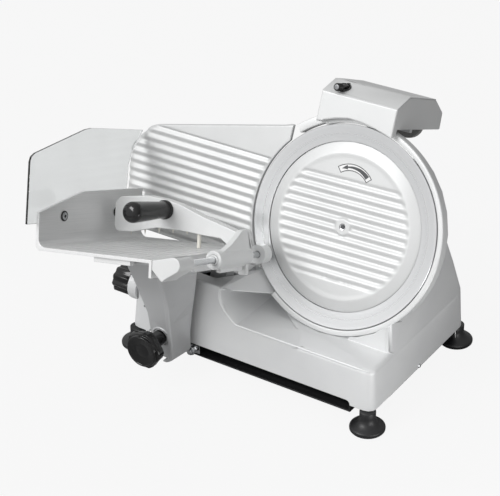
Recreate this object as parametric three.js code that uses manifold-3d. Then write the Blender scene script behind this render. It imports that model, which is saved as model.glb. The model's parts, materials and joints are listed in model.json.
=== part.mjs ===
// Meat slicer: a cast base with a tilted blade, a ribbed gauge plate, a tray that slides past the blade,
// a pusher on a rod beside the tray and a sharpener over the blade. Millimetres, +Z up.
// Three frames share the centre of the blade. The base frame is upright. The head frame leans back with
// the blade: x to the right, y behind the blade, z up along it. The tray frame is the head frame rolled
// about y, because the tray falls away from the pusher rod.
import * as THREE from "three";
import { mergeVertices } from "three/addons/utils/BufferGeometryUtils.js";
import Module from "manifold-3d";

const wasm = await Module();
wasm.setup();

// Driving dimensions of the whole machine
const bladeRadius = 125;
const bladeHeight = 203; // blade centre above the bench
const bladeTilt = THREE.MathUtils.degToRad(22.25);
const trayRoll = THREE.MathUtils.degToRad(10.5);
const seatGap = 0.3; // between a piece and its seat
const runGap = 1; // beside a moving piece
const overrun = 2; // how far a cutting shape passes the surface it cuts
const fitGap = 0.35; // around a shaft in its bore

// Base casting: plan measured from the blade centre, heights from its underside
const base = {
  left: 255,
  right: 104.7,
  front: 100,
  rear: 135,
  wall: 4,
  corner: 12,
  ledgeHeight: 55, // low front deck
  blockHeight: 100, // raised left block
  blockRight: 10,
  blockRear: 45,
  topRound: 6,
  draftShare: 0.078,
  bossRadius: 12.5,
  bossHeight: 26,
};
const foot = {
  height: 27,
  radius: 22,
  stem: 10,
  rim: 3.5,
  neckHeight: 8,
  waist: 14,
  cup: 2,
  insetX: 8,
  insetY: 4,
};
const pocket = { left: 117, round: 36, shearShare: 2, rear: 49, headroom: 30 };
const slot = { left: 225, right: 73, rise: 6, round: 5, depth: 12 };
const underside = foot.height - bladeHeight;
const ledge = underside + base.ledgeHeight;
const blockTop = underside + base.blockHeight;
const far = base.left + base.right; // reach of the cutting blocks

// Places from shares: each column of a table follows its own size
const sized = (shares, ...sizes) => shares.map(
  (row) => row.map((share, i) => share * sizes[i % sizes.length]),
);
// A height below the blade centre follows the underside, one above it follows the blade
const levelHeight = (share) => (share < 0 ? -share * underside : share * bladeRadius);
const levels = (shares, ...sizes) =>
  shares.map(([height, ...places]) => [levelHeight(height), ...sized([places], ...sizes)[0]]);

// Neck of the casting behind the blade: height, left, right, front, rear
const neckShares = [
  [-1, -0.4776, 1, -1, 1],
  [-0.6875, -0.4776, 0.959, -1, 1],
  [-0.409, -0.4585, 0.9312, -1, 0.852],
  [-0.1307, -0.4298, 0.8978, -0.612, 0.689],
  [0.32, -0.382, 0.8405, 0.306, 0.489],
  [0.744, -0.3438, 0.745, 0.816, 0.459],
];
const neckLevels = levels(neckShares, base.right, base.right, pocket.rear, base.rear);
const neck = { drop: 25, corner: 9, wall: 4, headroom: 8 };
const backPlate = { rim: 6, front: 13, rear: 20, left: 60 };
const hubPocket = { radius: 31, rear: 17.5 };
const socket = { x: 8, y: 46, radius: 13, drop: 83, web: 12 };
const motorWall = { front: 59.3, rear: 62.7, left: 48, right: 44, above: 40, below: 38, hole: 14 };

// Blade, cover and drive, along the head frame's y; the widths run inwards from the blade's edge
const blade = {
  edgeWidth: 3,
  bevelWidth: 7,
  rimWidth: 17,
  dishWidth: 21.1,
  webWidth: 29,
  dishDepth: 6,
  lipDepth: 0.2,
  edgeDepth: 1,
  bevelBack: 3.4,
  rimBack: 6,
  webBack: 11,
  hubRadius: 45,
  hubBack: 12.3,
  bore: 14.35,
};
const cover = {
  gap: 0.6,
  rim: 13.3,
  thickness: 4.5,
  rimThickness: 3.5,
  pocketDepth: 1.3,
  bossRadius: 9,
  ribPitch: 11.1,
  ribWidth: 8.2,
  ribCount: 12,
  firstRib: 59, // below the centre
};
const ring = {
  gap: 0.8,
  width: 7.2,
  padGap: 3,
  padWidth: 11,
  startAngle: THREE.MathUtils.degToRad(-125),
  endAngle: THREE.MathUtils.degToRad(131),
  padAngle: THREE.MathUtils.degToRad(114),
};
const dishRadius = bladeRadius - blade.dishWidth;
const coverRadius = dishRadius - cover.gap;
const ringOuter = bladeRadius + ring.gap + ring.width;
const over = (rise) => bladeRadius + rise; // a height above the blade's edge
const shaft = { radius: 9, bore: 4.9, spigotFront: 8, flangeRadius: 28, flangeRear: 16.6, rear: 62 };
const bearing = { outer: 17, width: 8, frontAt: 22, rearAt: 33, bossRear: 42 };
const pulley = { radius: 33, smallRadius: 12, front: 44, rear: 58, belt: 2.6, beltInset: 1.5, spacing: 90 };
const motor = {
  radius: 37,
  front: 63,
  rear: 137,
  shoulder: 123,
  capRadius: 29,
  shaftRadius: 5,
  shaftFront: 42,
};
const tie = {
  radius: 4,
  headRadius: 6.5,
  headDepth: 2.6,
  headInset: 0.4,
  socketRadius: 2.7,
  socketDepth: 2.2,
  bossFront: 92,
  bossRear: 125,
  bossRadius: 12,
  end: 139,
};
const releaseKnob = { depth: 17.7, neck: 3, neckRadius: 10, radius: 15, lobes: 6, scallop: 2, round: 1.5 };

// Gauge plate, in the head frame: its outline as x and height in shares of the blade's radius
const gaugeShares = [
  [-0.794, -0.64],
  [-2.588, -0.64],
  [-2.56, -0.23],
  [-2.629, 0.173],
  [-2.4, 0.444],
  [-0.76, 0.832],
];
const gaugeOutline = sized(gaugeShares, bladeRadius);
const gauge = {
  gap: 2.5,
  back: 5,
  ribPitch: 11,
  ribWidth: 8.2,
  ribHeight: 1.6,
  firstRib: 71.5, // below the centre
  ribCount: 12,
  plainFrom: 57,
  inset: 8,
};
const gaugeArc = bladeRadius + gauge.gap;
const carrier = {
  left: 174,
  right: 150,
  back: 12,
  footBack: 26,
  plateLeft: 215,
  plateRight: 145,
  top: 20,
  bottom: 85,
  rodX: 162,
  rodDrop: 20.1,
  rodRadius: 6,
  rodFront: 42,
  rodRear: 62,
  clampRadius: 11,
  clampFront: 8,
  lugFront: 36,
  lugRear: 42,
  lugDepth: 12,
  lugHalf: 11,
  lugTopDrop: 2.1,
  slotFront: 20,
  slotRear: 40,
  slotRound: 4,
  slotDrop: 6.6,
  followerReach: 12.5,
  followerDepth: 6,
  followerDrop: 20,
  followerLeft: 190,
};
// the left block's sloped top in the head frame, and the gauge rod below it
const slopeTop = Math.cos(bladeTilt) * blockTop - Math.sin(bladeTilt) * (base.front - base.topRound);
const rodHeight = slopeTop - carrier.rodDrop;
const dial = {
  rise: 53,
  inset: 20,
  radius: 19,
  left: 285,
  right: 258.7,
  flutes: 10,
  fluteDepth: 2.4,
  round: 2,
  collarRadius: 20,
  collarRight: 245,
  shaftRadius: 5,
  shaftLeft: 281,
  camLeft: 189,
  camRight: 181,
  camRadius: 7,
  camOffset: 2.5,
};

// Tray, in the tray frame
const tray = {
  wallFace: 291.2,
  right: 127.3,
  floor: 36.8,
  thickness: 4,
  fillet: 10,
  wallTop: 26,
  front: 218,
  rear: 6,
  chamferHeight: 3.7,
  chamferRear: 130,
  skirtDrop: 58,
  notchFront: 188,
  notchRear: 148.5,
  ribFirst: 275,
  ribLast: 135,
  ribs: 18,
  ribHeight: 0.8,
  ribHalf: 1.2,
  underRibLeft: 212,
  underRibRight: 160,
  underRibDepth: 6.2,
  underRibWidth: 9,
};
const guardShares = [
  [-1.0775, -0.0436],
  [-0.165, -0.0436],
  [-0.165, 0.1073],
  [-0.1546, 0.1583],
  [-0.15, 0.2592],
  [-0.122, 0.3298],
  [-0.0518, 0.4133],
  [-0.0161, 0.4628],
  [-0.5252, 0.4757],
  [-0.5849, 0.4674],
  [-1.0257, 0.3427],
  [-1.0569, 0.3234],
  [-1.0679, 0.295],
];
const guardThickness = 3;
const bolt = {
  shank: 3,
  head: 5.6,
  headDepth: 3,
  nut: 5.6,
  nutDepth: 4,
  front: 170,
  rear: 62,
  height: -2.3,
};
const guideRod = { reach: 29.3, drop: 40.2, radius: 4, front: 214, rear: 18 };
guideRod.s = guideRod.reach + seatGap - tray.right; // the brackets reach from the tray's skirt to the rod
guideRod.h = -guideRod.drop;
// Bracket outlines from the rod's centre, in shares of that reach
const frontBracket = { front: 218, rear: 187, boss: 9, blind: 214.3 };
const frontBracketShares = [
  [-1, -0.266],
  [-0.522, -0.71],
  [-0.345, -0.567],
  [0.195, -0.249],
  [0.29, -0.061],
  [-0.038, 0.307],
  [-1, 0.102],
];
const rearBracket = { front: 34.5, rear: 17.5, boss: 12 };
const rearBracketShares = [
  [-1, -0.539],
  [-0.215, -0.386],
  [0.263, -0.3],
  [0, 0.399],
  [-1, 0.075],
];

// Pusher, in the tray frame, measured from its rod; its outlines are shares of its reach
const pusher = {
  wallGap: 10,
  front: 134,
  rear: 61,
  hub: 11.5,
  face: 80,
  plate: 4,
  rimRear: 66,
  rim: 3,
  webLeft: -1,
  webRight: 7,
  bush: 6.6,
  bushProud: 0.5,
};
const pusherReach = tray.wallFace + guideRod.s - pusher.wallGap;
const pusherShares = [
  [-0.958, 0.087],
  [-0.85, 0.093],
  [-0.654, 0.136],
  [-0.463, 0.136],
  [-0.272, 0.118],
  [-0.14, 0.111],
  [-0.082, 0.071],
  [-0.049, 0],
  [0.038, 0],
  [0.038, 0.142],
  [0, 0.158],
  [-0.087, 0.186],
  [-0.278, 0.239],
  [-0.472, 0.309],
  [-0.599, 0.335],
  [-0.73, 0.347],
  [-0.943, 0.327],
  [-0.981, 0.305],
  [-0.995, 0.272],
  [-1, 0.131],
  [-0.986, 0.098],
];
const pusherWebShares = [
  [-1, 0],
  [-0.4546, 0],
  [-0.4546, 0.131],
  [-0.4779, 0.163],
  [-0.5218, 0.18],
  [-0.6121, 0.18],
  [-0.6861, 0.142],
  [-0.7765, 0.098],
  [-0.8805, 0.065],
  [-1, 0.038],
];
const pusherSkirt = { left: -1, right: 5, front: -125, rear: -75, bottom: -15.5, top: -9 };
const pusherTab = { left: -3, right: 8, front: -72, rear: -66, bottom: -22, top: -6 };
const handle = { s: -107, h: 48.5, base: 80.3, radius: 13, length: 77.7 };
// radius and distance from the base, in shares of the handle's radius and length
const handleShares = [
  [0, 1],
  [0.538, 0.992],
  [0.892, 0.956],
  [1, 0.897],
  [0.969, 0.768],
  [0.862, 0.408],
  [0.815, 0.099],
  [0.923, 0.048],
  [0.923, 0],
  [0, 0],
];
const spikeBar = { left: -178, right: -76, front: -65.7, rear: -62, bottom: 24, top: 34 };
const spikes = { radius: 1.7, pitch: 21, first: -168, tipShares: [0.396, 0.5, 0.667, 0.75, 0.75] };
const peg = { s: -60, u: -73, radius: 2.6, bottom: 4.6, top: 22 };

// Carriage arm and slide, in the base frame; a rise is above the casting's underside and a drop below it
const slide = { radius: 8, y: 78, rise: 8, inset: 9 };
const lugs = { front: 92, rear: 34, rise: 24, capDrop: 4.5, capDepth: 10 };
const slider = {
  left: 205,
  right: 166.5,
  half: 12,
  hornLeft: 200,
  hornRight: 167,
  hornFront: 105.7,
  hornRise: 3.5,
  hornDrop: 7,
  plateRear: 101,
  plateRise: 40,
  armLeft: 188,
  armRight: 172,
  armRear: 51.5,
  armTop: 26,
  armBottom: 9,
};
const roller = {
  radius: 9,
  x: 180,
  rise: 17,
  front: 50.8,
  rear: 39.4,
  pin: 3,
  pinRear: 36,
  washer: 5,
  washerFront: 38.6,
};
const bar = { front: 52, rear: 37, thickness: 5 };
const shoe = {
  left: 166.2,
  right: 148,
  front: 98,
  rear: 68,
  drop: 8,
  topDrop: 1,
  lipRear: 88,
  lipRise: 3.5,
  hex: 4.5,
  hexFront: 104,
};
const arm = {
  footDrop: 6,
  footRound: 12,
  footLean: 2,
  rear: 106,
  ridge: 159,
  rib: 7,
  web: 5,
  step: 9,
  leftRib: 6,
  pocketRise: 8,
  bossRadius: 12,
  bossFront: 133.5,
};
// arm sections: height, ridge front, left edge, rear right edge
const armShares = [
  [-0.8466, -1.327, -1.2516, -0.9717],
  [-0.6818, -1.351, -1.2629, -0.9497],
  [-0.5398, -1.368, -1.3208, -0.9214],
  [-0.4091, -1.4057, -1.3585, -0.8994],
  [-0.3011, -1.4717, -1.3711, -0.8805],
  [-0.1705, -1.4906, -1.3805, -0.8553],
  [0.2, -1.5377, -1.3962, -0.805],
];
const armLevels = levels(armShares, arm.rear, arm.ridge, arm.ridge);
const armFlange = { left: -215, right: -134, front: -198, rear: -95, depth: 5.9 };
// the arm's lug under the tray's edge, from the flange's corner, in shares of its reach
const armLug = { reach: 24, front: 186.5, rear: 150 };
const armLugShares = [
  [0, -0.246],
  [0.75, -0.663],
  [1, -0.704],
  [1, -0.517],
  [0.75, -0.433],
  [0.292, 0],
  [0, 0],
];
const lock = {
  x: 181,
  rise: 27.5,
  stud: 4,
  studFront: 166,
  headRear: 99.3,
  headRadius: 6.5,
  front: 134,
  hub: 9.6,
  bodyRear: 160,
  bodyFront: 172,
  rimFront: 175,
  rimRadius: 21.5,
  radius: 26,
  scallop: 3.5,
  lobes: 5,
  dish: 18,
  round: 2.5,
};
const channel = { drop: 11, sheet: 2, right: 73, left: 222, front: 97.5, rear: 57, flange: 36 };
const bottomPlate = { front: 55, inset: 1.5, sheet: 1.7, notch: 11 };

// Sharpener, in the head frame: heights are above the blade's edge, outlines in shares of the hood
const hoodShares = [
  [-0.1018, -0.178],
  [-0.0085, -0.178],
  [-0.0085, 0.1319],
  [1, 0.1319],
  [0.9822, 0.6154],
  [0.7498, 0.967],
  [0.1289, 1],
  [-0.1018, 0.6769],
];
const hood = {
  depth: 117.9,
  height: 45.5,
  left: 60,
  right: 44,
  wall: 4,
  rim: 6,
  skirtDrop: 25,
  pinHole: 8.5,
  pinBore: 4.4,
};
const onHood = (shares) =>
  sized(shares, hood.depth, hood.height).map(([depth, rise]) => [depth, over(rise)]);
const hoodOutline = onHood(hoodShares);
const framePlate = { left: 48, right: 32, front: 18, rear: 86, bottom: 35 };
const frameArmShares = [
  [0.6616, 0.4835],
  [0.8651, 0.4835],
  [0.8651, 0.0659],
  [0.9075, 0.0659],
  [0.9075, 0.5934],
  [0.7294, 0.5934],
  [0.7294, 0.7912],
  [0.6616, 0.7912],
];
const frameArm = { left: 36, right: 8 };
const sleeve = { radius: 13, bottom: -3, top: 36, boreTop: 31 };
const pinLug = { left: -46, right: -30, front: 16, rear: 22, bottom: 25, top: 36 };
const grindWall = { left: 8, right: 31, front: 62, rear: 68, bottom: -1, top: 36 };
const post = { radius: 8, collar: 11, bottom: -79, collarBottom: -26.7, collarTop: -3.3, top: 30.7 };
const grind = {
  x: 19.5,
  rise: 10,
  radius: 19.5,
  front: 74,
  rear: 82,
  shaft: 4,
  shaftFront: 54,
  shaftRear: 85,
  collar: 6.5,
  collarFront: 70,
};
const deburr = {
  x: -22,
  rise: 9,
  radius: 12,
  front: 95,
  rear: 100,
  shaft: 3,
  shaftRear: 110,
  cap: 5,
  capFront: 93,
};
const pinKnob = {
  x: -38,
  rise: 39,
  front: 19,
  headRear: 9,
  headRadius: 4.8,
  bevel: 1,
  shank: 3.6,
  end: 26,
  bore: 3.95,
};

// Switch and cord inlet
const panel = { y: 10, rise: 28, width: 26, height: 48, left: 256.5, right: 245, round: 4 };
const button = { radius: 8.5, left: 262, right: 246, pitch: 22, round: 1.5 };
const gland = {
  x: -200,
  rise: 26,
  spigot: 6,
  flange: 12,
  flangeDepth: 3,
  radius: 8,
  length: 15,
  bore: 4,
};

const paint = { color: 0xc9cacb, roughness: 0.42, metalness: 0.35 };
const finishes = {
  casting: new THREE.MeshStandardMaterial(paint),
  aluminium: new THREE.MeshStandardMaterial({ color: 0xd6d7d8, roughness: 0.3, metalness: 0.7 }),
  steel: new THREE.MeshStandardMaterial({ color: 0xc4c6c8, roughness: 0.2, metalness: 0.95 }),
  chrome: new THREE.MeshStandardMaterial({ color: 0xdadcde, roughness: 0.1, metalness: 1 }),
  plastic: new THREE.MeshStandardMaterial({ color: 0x1b1b1d, roughness: 0.45, metalness: 0 }),
  rubber: new THREE.MeshStandardMaterial({ color: 0x141414, roughness: 0.8, metalness: 0 }),
  nylon: new THREE.MeshStandardMaterial({ color: 0xefeee8, roughness: 0.5, metalness: 0 }),
  acrylic: new THREE.MeshStandardMaterial(
    { color: 0xdfe6e6, roughness: 0.05, transparent: true, opacity: 0.35 },
  ),
  stone: new THREE.MeshStandardMaterial({ color: 0x7d7a78, roughness: 0.9, metalness: 0 }),
  sheet: new THREE.MeshStandardMaterial({ color: 0x18181a, roughness: 0.5, metalness: 0.2 }),
  brass: new THREE.MeshStandardMaterial({ color: 0xb08d4c, roughness: 0.35, metalness: 0.9 }),
  green: new THREE.MeshStandardMaterial({ color: 0x2f8f4a, roughness: 0.4, metalness: 0 }),
  red: new THREE.MeshStandardMaterial({ color: 0xb52a26, roughness: 0.4, metalness: 0 }),
};

// Frames
const machine = new THREE.Group();
const head = new THREE.Group();
head.rotation.x = -bladeTilt;
const carriageTray = new THREE.Group();
carriageTray.rotation.y = -trayRoll;
machine.add(head);
head.add(carriageTray);
machine.updateMatrixWorld(true);
const headMatrix = head.matrixWorld.clone();
const trayMatrix = carriageTray.matrixWorld.clone();

// Solids: a closed three.js mesh becomes a solid once its seams are merged and its slivers dropped
function solid(shape) {
  if (!shape.isBufferGeometry) return shape;
  const bare = new THREE.BufferGeometry().setAttribute("position", shape.getAttribute("position"));
  if (shape.index) bare.setIndex(shape.index);
  const merged = mergeVertices(bare, 1e-4 * bladeRadius);
  const triangles = [];
  for (let i = 0; i < merged.index.count; i += 3) {
    const [a, b, c] = [0, 1, 2].map((k) => merged.index.getX(i + k));
    if (a !== b && b !== c && c !== a) triangles.push(a, b, c);
  }
  const build = (order) =>
    new wasm.Manifold(
      new wasm.Mesh({
        numProp: 3,
        vertProperties: merged.attributes.position.array,
        triVerts: new Uint32Array(order),
      }),
    );
  const made = build(triangles);
  return made.volume() < 0 ? build(triangles.reverse()) : made;
}

const join = (...shapes) => shapes.map(solid).reduce((all, next) => all.add(next));
const cut = (shape, ...tools) => tools.map(solid).reduce((left, tool) => left.subtract(tool), solid(shape));
const overlap = (a, b) => solid(a).intersect(solid(b));
const moved = (shape, matrix) => solid(shape).transform(matrix.elements);

function geometryOf(shape) {
  const mesh = solid(shape).getMesh();
  const geometry = new THREE.BufferGeometry();
  geometry.setAttribute("position", new THREE.BufferAttribute(mesh.vertProperties, mesh.numProp));
  geometry.setIndex(new THREE.BufferAttribute(mesh.triVerts, 1));
  const flat = geometry.toNonIndexed();
  flat.computeVertexNormals();
  return flat;
}

function piece(name, shape, finish, parent) {
  const mesh = new THREE.Mesh(geometryOf(shape), finish);
  mesh.name = name;
  parent.add(mesh);
  return mesh;
}

// Profiles and their extrusions: along x from (y, z), along y from (x, z), along z from (x, y)
const X = new THREE.Vector3(1, 0, 0);
const Y = new THREE.Vector3(0, 1, 0);
const Z = new THREE.Vector3(0, 0, 1);
const bases = {
  x: new THREE.Matrix4().makeBasis(Y, Z, X),
  y: new THREE.Matrix4().makeBasis(X, Z, Y.clone().negate()),
  z: new THREE.Matrix4(),
};

function push(axis, shape, from, to, round = 0, fineness = 12) {
  const geometry = new THREE.ExtrudeGeometry(shape, {
    depth: to - from - 2 * round,
    bevelEnabled: round > 0,
    bevelThickness: round,
    bevelSize: round,
    bevelOffset: -round,
    bevelSegments: 2,
    curveSegments: fineness,
  });
  geometry.translate(0, 0, (axis === "y" ? -to : from) + round);
  return geometry.applyMatrix4(bases[axis]);
}

function polygon(points) {
  return new THREE.Shape(points.map(([a, b]) => new THREE.Vector2(a, b)));
}

// The outline moved inwards by an even distance; its points run counter-clockwise or clockwise alike
function insetPoints(points, distance) {
  const area = points.reduce((sum, [a, b], i) => {
    const [c, d] = points[(i + 1) % points.length];
    return sum + a * d - b * c;
  }, 0);
  const side = Math.sign(area);
  const normal = ([a, b], [c, d]) => {
    const length = Math.hypot(c - a, d - b);
    return [(-side * (d - b)) / length, (side * (c - a)) / length];
  };
  return points.map((point, i) => {
    const before = normal(points.at(i - 1), point);
    const after = normal(point, points[(i + 1) % points.length]);
    const scale = distance / (1 + before[0] * after[0] + before[1] * after[1]);
    return [point[0] + scale * (before[0] + after[0]), point[1] + scale * (before[1] + after[1])];
  });
}

function circle(radius, a = 0, b = 0) {
  return new THREE.Shape().absarc(a, b, radius, 0, 2 * Math.PI);
}

function roundRect(a0, a1, b0, b1, radius) {
  const shape = new THREE.Shape();
  shape.absarc(a1 - radius, b0 + radius, radius, -Math.PI / 2, 0);
  shape.absarc(a1 - radius, b1 - radius, radius, 0, Math.PI / 2);
  shape.absarc(a0 + radius, b1 - radius, radius, Math.PI / 2, Math.PI);
  shape.absarc(a0 + radius, b0 + radius, radius, Math.PI, 1.5 * Math.PI);
  return shape;
}

function block(x0, x1, y0, y1, z0, z1) {
  const box = new THREE.BoxGeometry(x1 - x0, y1 - y0, z1 - z0);
  return box.translate((x0 + x1) / 2, (y0 + y1) / 2, (z0 + z1) / 2);
}

function pin(axis, radius, from, to, a = 0, b = 0, fineness = 10) {
  return push(axis, circle(radius, a, b), from, to, 0, fineness);
}

// A turned piece: points of radius and height along the axis
function turned(axis, points, steps = 24) {
  const profile = points.map(([radius, height]) => new THREE.Vector2(radius, height));
  const geometry = new THREE.LatheGeometry(profile, steps);
  if (axis === "x") geometry.rotateZ(-Math.PI / 2);
  if (axis === "z") geometry.rotateX(Math.PI / 2);
  return geometry;
}

// A round bar or tube along an axis, with the profile of a turned piece, at its place across the axis
function spun(axis, points, place, steps) {
  return turned(axis, points, steps).translate(...place);
}

// A knob outline with scallops between its lobes
function lobed(radius, lobes, depth, stepsPerLobe = 5) {
  const points = [];
  const steps = lobes * stepsPerLobe;
  for (let i = 0; i < steps; i++) {
    const angle = (2 * Math.PI * i) / steps;
    const reach = radius - depth * (0.5 - 0.5 * Math.cos(lobes * angle));
    points.push([reach * Math.cos(angle), reach * Math.sin(angle)]);
  }
  return polygon(points);
}

// A solid through level loops of equal count, each counter-clockwise from above
function loft(loops) {
  const count = loops[0].length;
  const positions = loops.flat(2);
  const index = [];
  for (let level = 0; level + 1 < loops.length; level++)
    for (let i = 0; i < count; i++) {
      const a = level * count + i;
      const b = level * count + ((i + 1) % count);
      index.push(a, b, b + count, a, b + count, a + count);
    }
  const flatten = (loop) => loop.map(([x, y]) => new THREE.Vector2(x, y));
  const last = (loops.length - 1) * count;
  for (const [a, b, c] of THREE.ShapeUtils.triangulateShape(flatten(loops[0]), [])) index.push(c, b, a);
  for (const [a, b, c] of THREE.ShapeUtils.triangulateShape(flatten(loops.at(-1)), []))
    index.push(last + a, last + b, last + c);
  const geometry = new THREE.BufferGeometry();
  geometry.setAttribute("position", new THREE.Float32BufferAttribute(positions, 3));
  return geometry.setIndex(index);
}

function roundLoop(x0, x1, y0, y1, radius, z, steps = 3) {
  const loop = [];
  const corners = [
    [x1 - radius, y0 + radius, -Math.PI / 2],
    [x1 - radius, y1 - radius, 0],
    [x0 + radius, y1 - radius, Math.PI / 2],
    [x0 + radius, y0 + radius, Math.PI],
  ];
  for (const [cx, cy, start] of corners)
    for (let i = 0; i <= steps; i++) {
      const angle = start + (i * Math.PI) / (2 * steps);
      loop.push([cx + radius * Math.cos(angle), cy + radius * Math.sin(angle), z]);
    }
  return loop;
}

const crownShares = [0.38, 0.71, 0.92, 1]; // steps up the round at the top of a wall

// Base casting. Its front, left and right walls lean in with the casting's draft; the rear is upright.
function draftedBox(top, right, rear, inset, bottom, crown) {
  const loops = [];
  const level = (z, extra) => {
    const lean = base.draftShare * (z - underside) + inset + extra;
    const radius = Math.max(base.corner - inset - extra, base.corner - base.topRound - base.wall);
    const x1 = right - lean;
    return roundLoop(lean - base.left, x1, lean - base.front, rear - inset - extra, radius, z);
  };
  loops.push(level(bottom, 0));
  loops.push(level(top - crown, 0));
  for (const share of crown ? crownShares : []) {
    const back = crown * (1 - Math.sqrt(1 - share * share));
    loops.push(level(top - crown + crown * share, back));
  }
  return loft(loops);
}

// The left block's top falls to the rear in line with the tray's travel towards the blade
function aboveSlope(offset) {
  const tool = block(-far, far, -far, far, 0, far);
  const matrix = new THREE.Matrix4().makeRotationX(-bladeTilt);
  matrix.setPosition(0, base.topRound - base.front, blockTop + offset);
  return moved(tool, matrix);
}

function pocketTool(inset) {
  const shape = new THREE.Shape();
  const left = -pocket.left - inset;
  const floor = ledge - inset;
  shape.moveTo(left, blockTop + pocket.headroom);
  shape.lineTo(left, floor + pocket.round);
  shape.absarc(left + pocket.round, floor + pocket.round, pocket.round, Math.PI, 1.5 * Math.PI);
  shape.lineTo(base.right, floor);
  shape.lineTo(base.right, blockTop + pocket.headroom);
  const tool = push("y", shape, -base.front - overrun, -pocket.rear, 0, 6);
  const shear = new THREE.Matrix4().makeShear(0, 0, pocket.shearShare, 0, 0, 0);
  shear.setPosition(pocket.shearShare * base.front, 0, 0);
  return tool.applyMatrix4(shear);
}

const panelHeight = underside + panel.rise;
const panelTool = push(
  "x",
  roundRect(
    panel.y - panel.width / 2,
    panel.y + panel.width / 2,
    panelHeight - panel.height / 2,
    panelHeight + panel.height / 2,
    panel.round,
  ),
  -panel.left,
  -panel.right,
  0,
  3,
);

function neckBody(inset, headroom) {
  const crown = neckLevels.length - 1;
  const levels = neckLevels.map(([z, left, right, front, rear], level) => {
    let height = z;
    if (inset && level === 0) height = z - overrun;
    if (level === crown) height = z - headroom;
    return roundLoop(left + inset, right - inset, front + inset, rear - inset, neck.corner - inset, height);
  });
  return loft(levels);
}

function footPlaces() {
  const xs = [foot.insetX - base.left, base.right - foot.insetX];
  const ys = [foot.insetY - base.front, base.rear - foot.insetY];
  return xs.flatMap((x) => ys.map((y) => [x, y]));
}

const neckTop = over(-neck.drop);
const socketTop = neckTop - overrun;
const inHead = (shape) => moved(shape, headMatrix);
const inTray = (shape) => moved(shape, trayMatrix);
const disc = (radius, from, to, fineness = 16) => pin("y", radius, from, to, 0, 0, fineness);
const boxOf = (box) => block(box.left, box.right, box.front, box.rear, box.bottom, box.top);
const up = (rise) => underside + rise; // a height above the casting's underside

const slideZ = up(slide.rise);
const lugLeft = -slot.left;
const lugRight = slot.right + overrun;

function baseHousing() {
  const low = draftedBox(ledge, base.right, base.rear, 0, underside, base.topRound);
  const tall = draftedBox(blockTop, base.blockRight, base.blockRear, 0, underside, base.topRound);
  const outer = cut(
    join(low, cut(tall, aboveSlope(0), pocketTool(0)), neckBody(0, 0)),
    inHead(disc(ringOuter + runGap, -far, backPlate.front)),
    inHead(block(-far, far, -far, far, neckTop, far)),
  );
  const lowRoom = draftedBox(ledge - base.wall, base.right, base.rear, base.wall, underside - overrun, 0);
  const tallRoom = draftedBox(blockTop, base.blockRight, base.blockRear, base.wall, underside - overrun, 0);
  const room = cut(
    join(
      lowRoom,
      cut(tallRoom, aboveSlope(-base.wall), pocketTool(base.wall)),
      neckBody(neck.wall, neck.headroom),
    ),
    inHead(disc(ringOuter + runGap + base.wall, -far, backPlate.rear)),
    inHead(block(-far, far, -far, far, neckTop - base.wall, far)),
  );
  const plate = overlap(
    disc(bladeRadius + backPlate.rim, backPlate.front, backPlate.rear),
    block(-backPlate.left, far, 0, far, -far, neckTop),
  );
  const rodLugs = [-carrier.lugFront, carrier.lugRear].map((from) => {
    const half = carrier.lugHalf;
    const to = from + carrier.lugDepth;
    return block(
      -carrier.rodX - half,
      half - carrier.rodX,
      from,
      to,
      rodHeight - half,
      slopeTop - carrier.lugTopDrop,
    );
  });
  const headParts = join(
    plate,
    disc(bearing.outer + base.wall, backPlate.rear - overrun, bearing.bossRear, 8),
    disc(tie.bossRadius, tie.bossFront, tie.bossRear, 6),
    pin("z", socket.radius, over(-socket.drop), socketTop, -socket.x, socket.y, 6),
    block(
      -socket.x - socket.web / 2,
      socket.web / 2 - socket.x,
      backPlate.rear - overrun,
      socket.y,
      over(-socket.drop) + socket.radius,
      socketTop,
    ),
    block(
      -motorWall.left,
      motorWall.right,
      motorWall.front,
      motorWall.rear,
      -pulley.spacing - motorWall.below,
      motorWall.above - pulley.spacing,
    ),
  );
  const baseParts = [
    ...footPlaces().map(
      ([x, y]) => pin("z", base.bossRadius, underside, underside + base.bossHeight, x, y, 5),
    ),
    block(-base.left, lugLeft, -lugs.front, -lugs.rear, slideZ, up(lugs.rise)),
    block(lugRight, base.right, -lugs.front, -lugs.rear, slideZ, up(lugs.rise)),
  ];
  const skin = draftedBox(ledge - base.wall, base.right, base.rear, base.wall / 2, underside, 0);
  return join(
    cut(outer, room),
    inHead(headParts),
    ...rodLugs.map(inHead),
    overlap(join(...baseParts), skin),
  );
}

const dialY = dial.inset - base.front;
const dialZ = up(dial.rise);
const buttonHeights = {
  on_button: panelHeight + button.pitch / 2,
  off_button: panelHeight - button.pitch / 2,
};
const slideRod = (grow) =>
  pin("x", slide.radius + grow, slide.inset - base.left, base.right - slide.inset, -slide.y, slideZ, 8);

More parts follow.
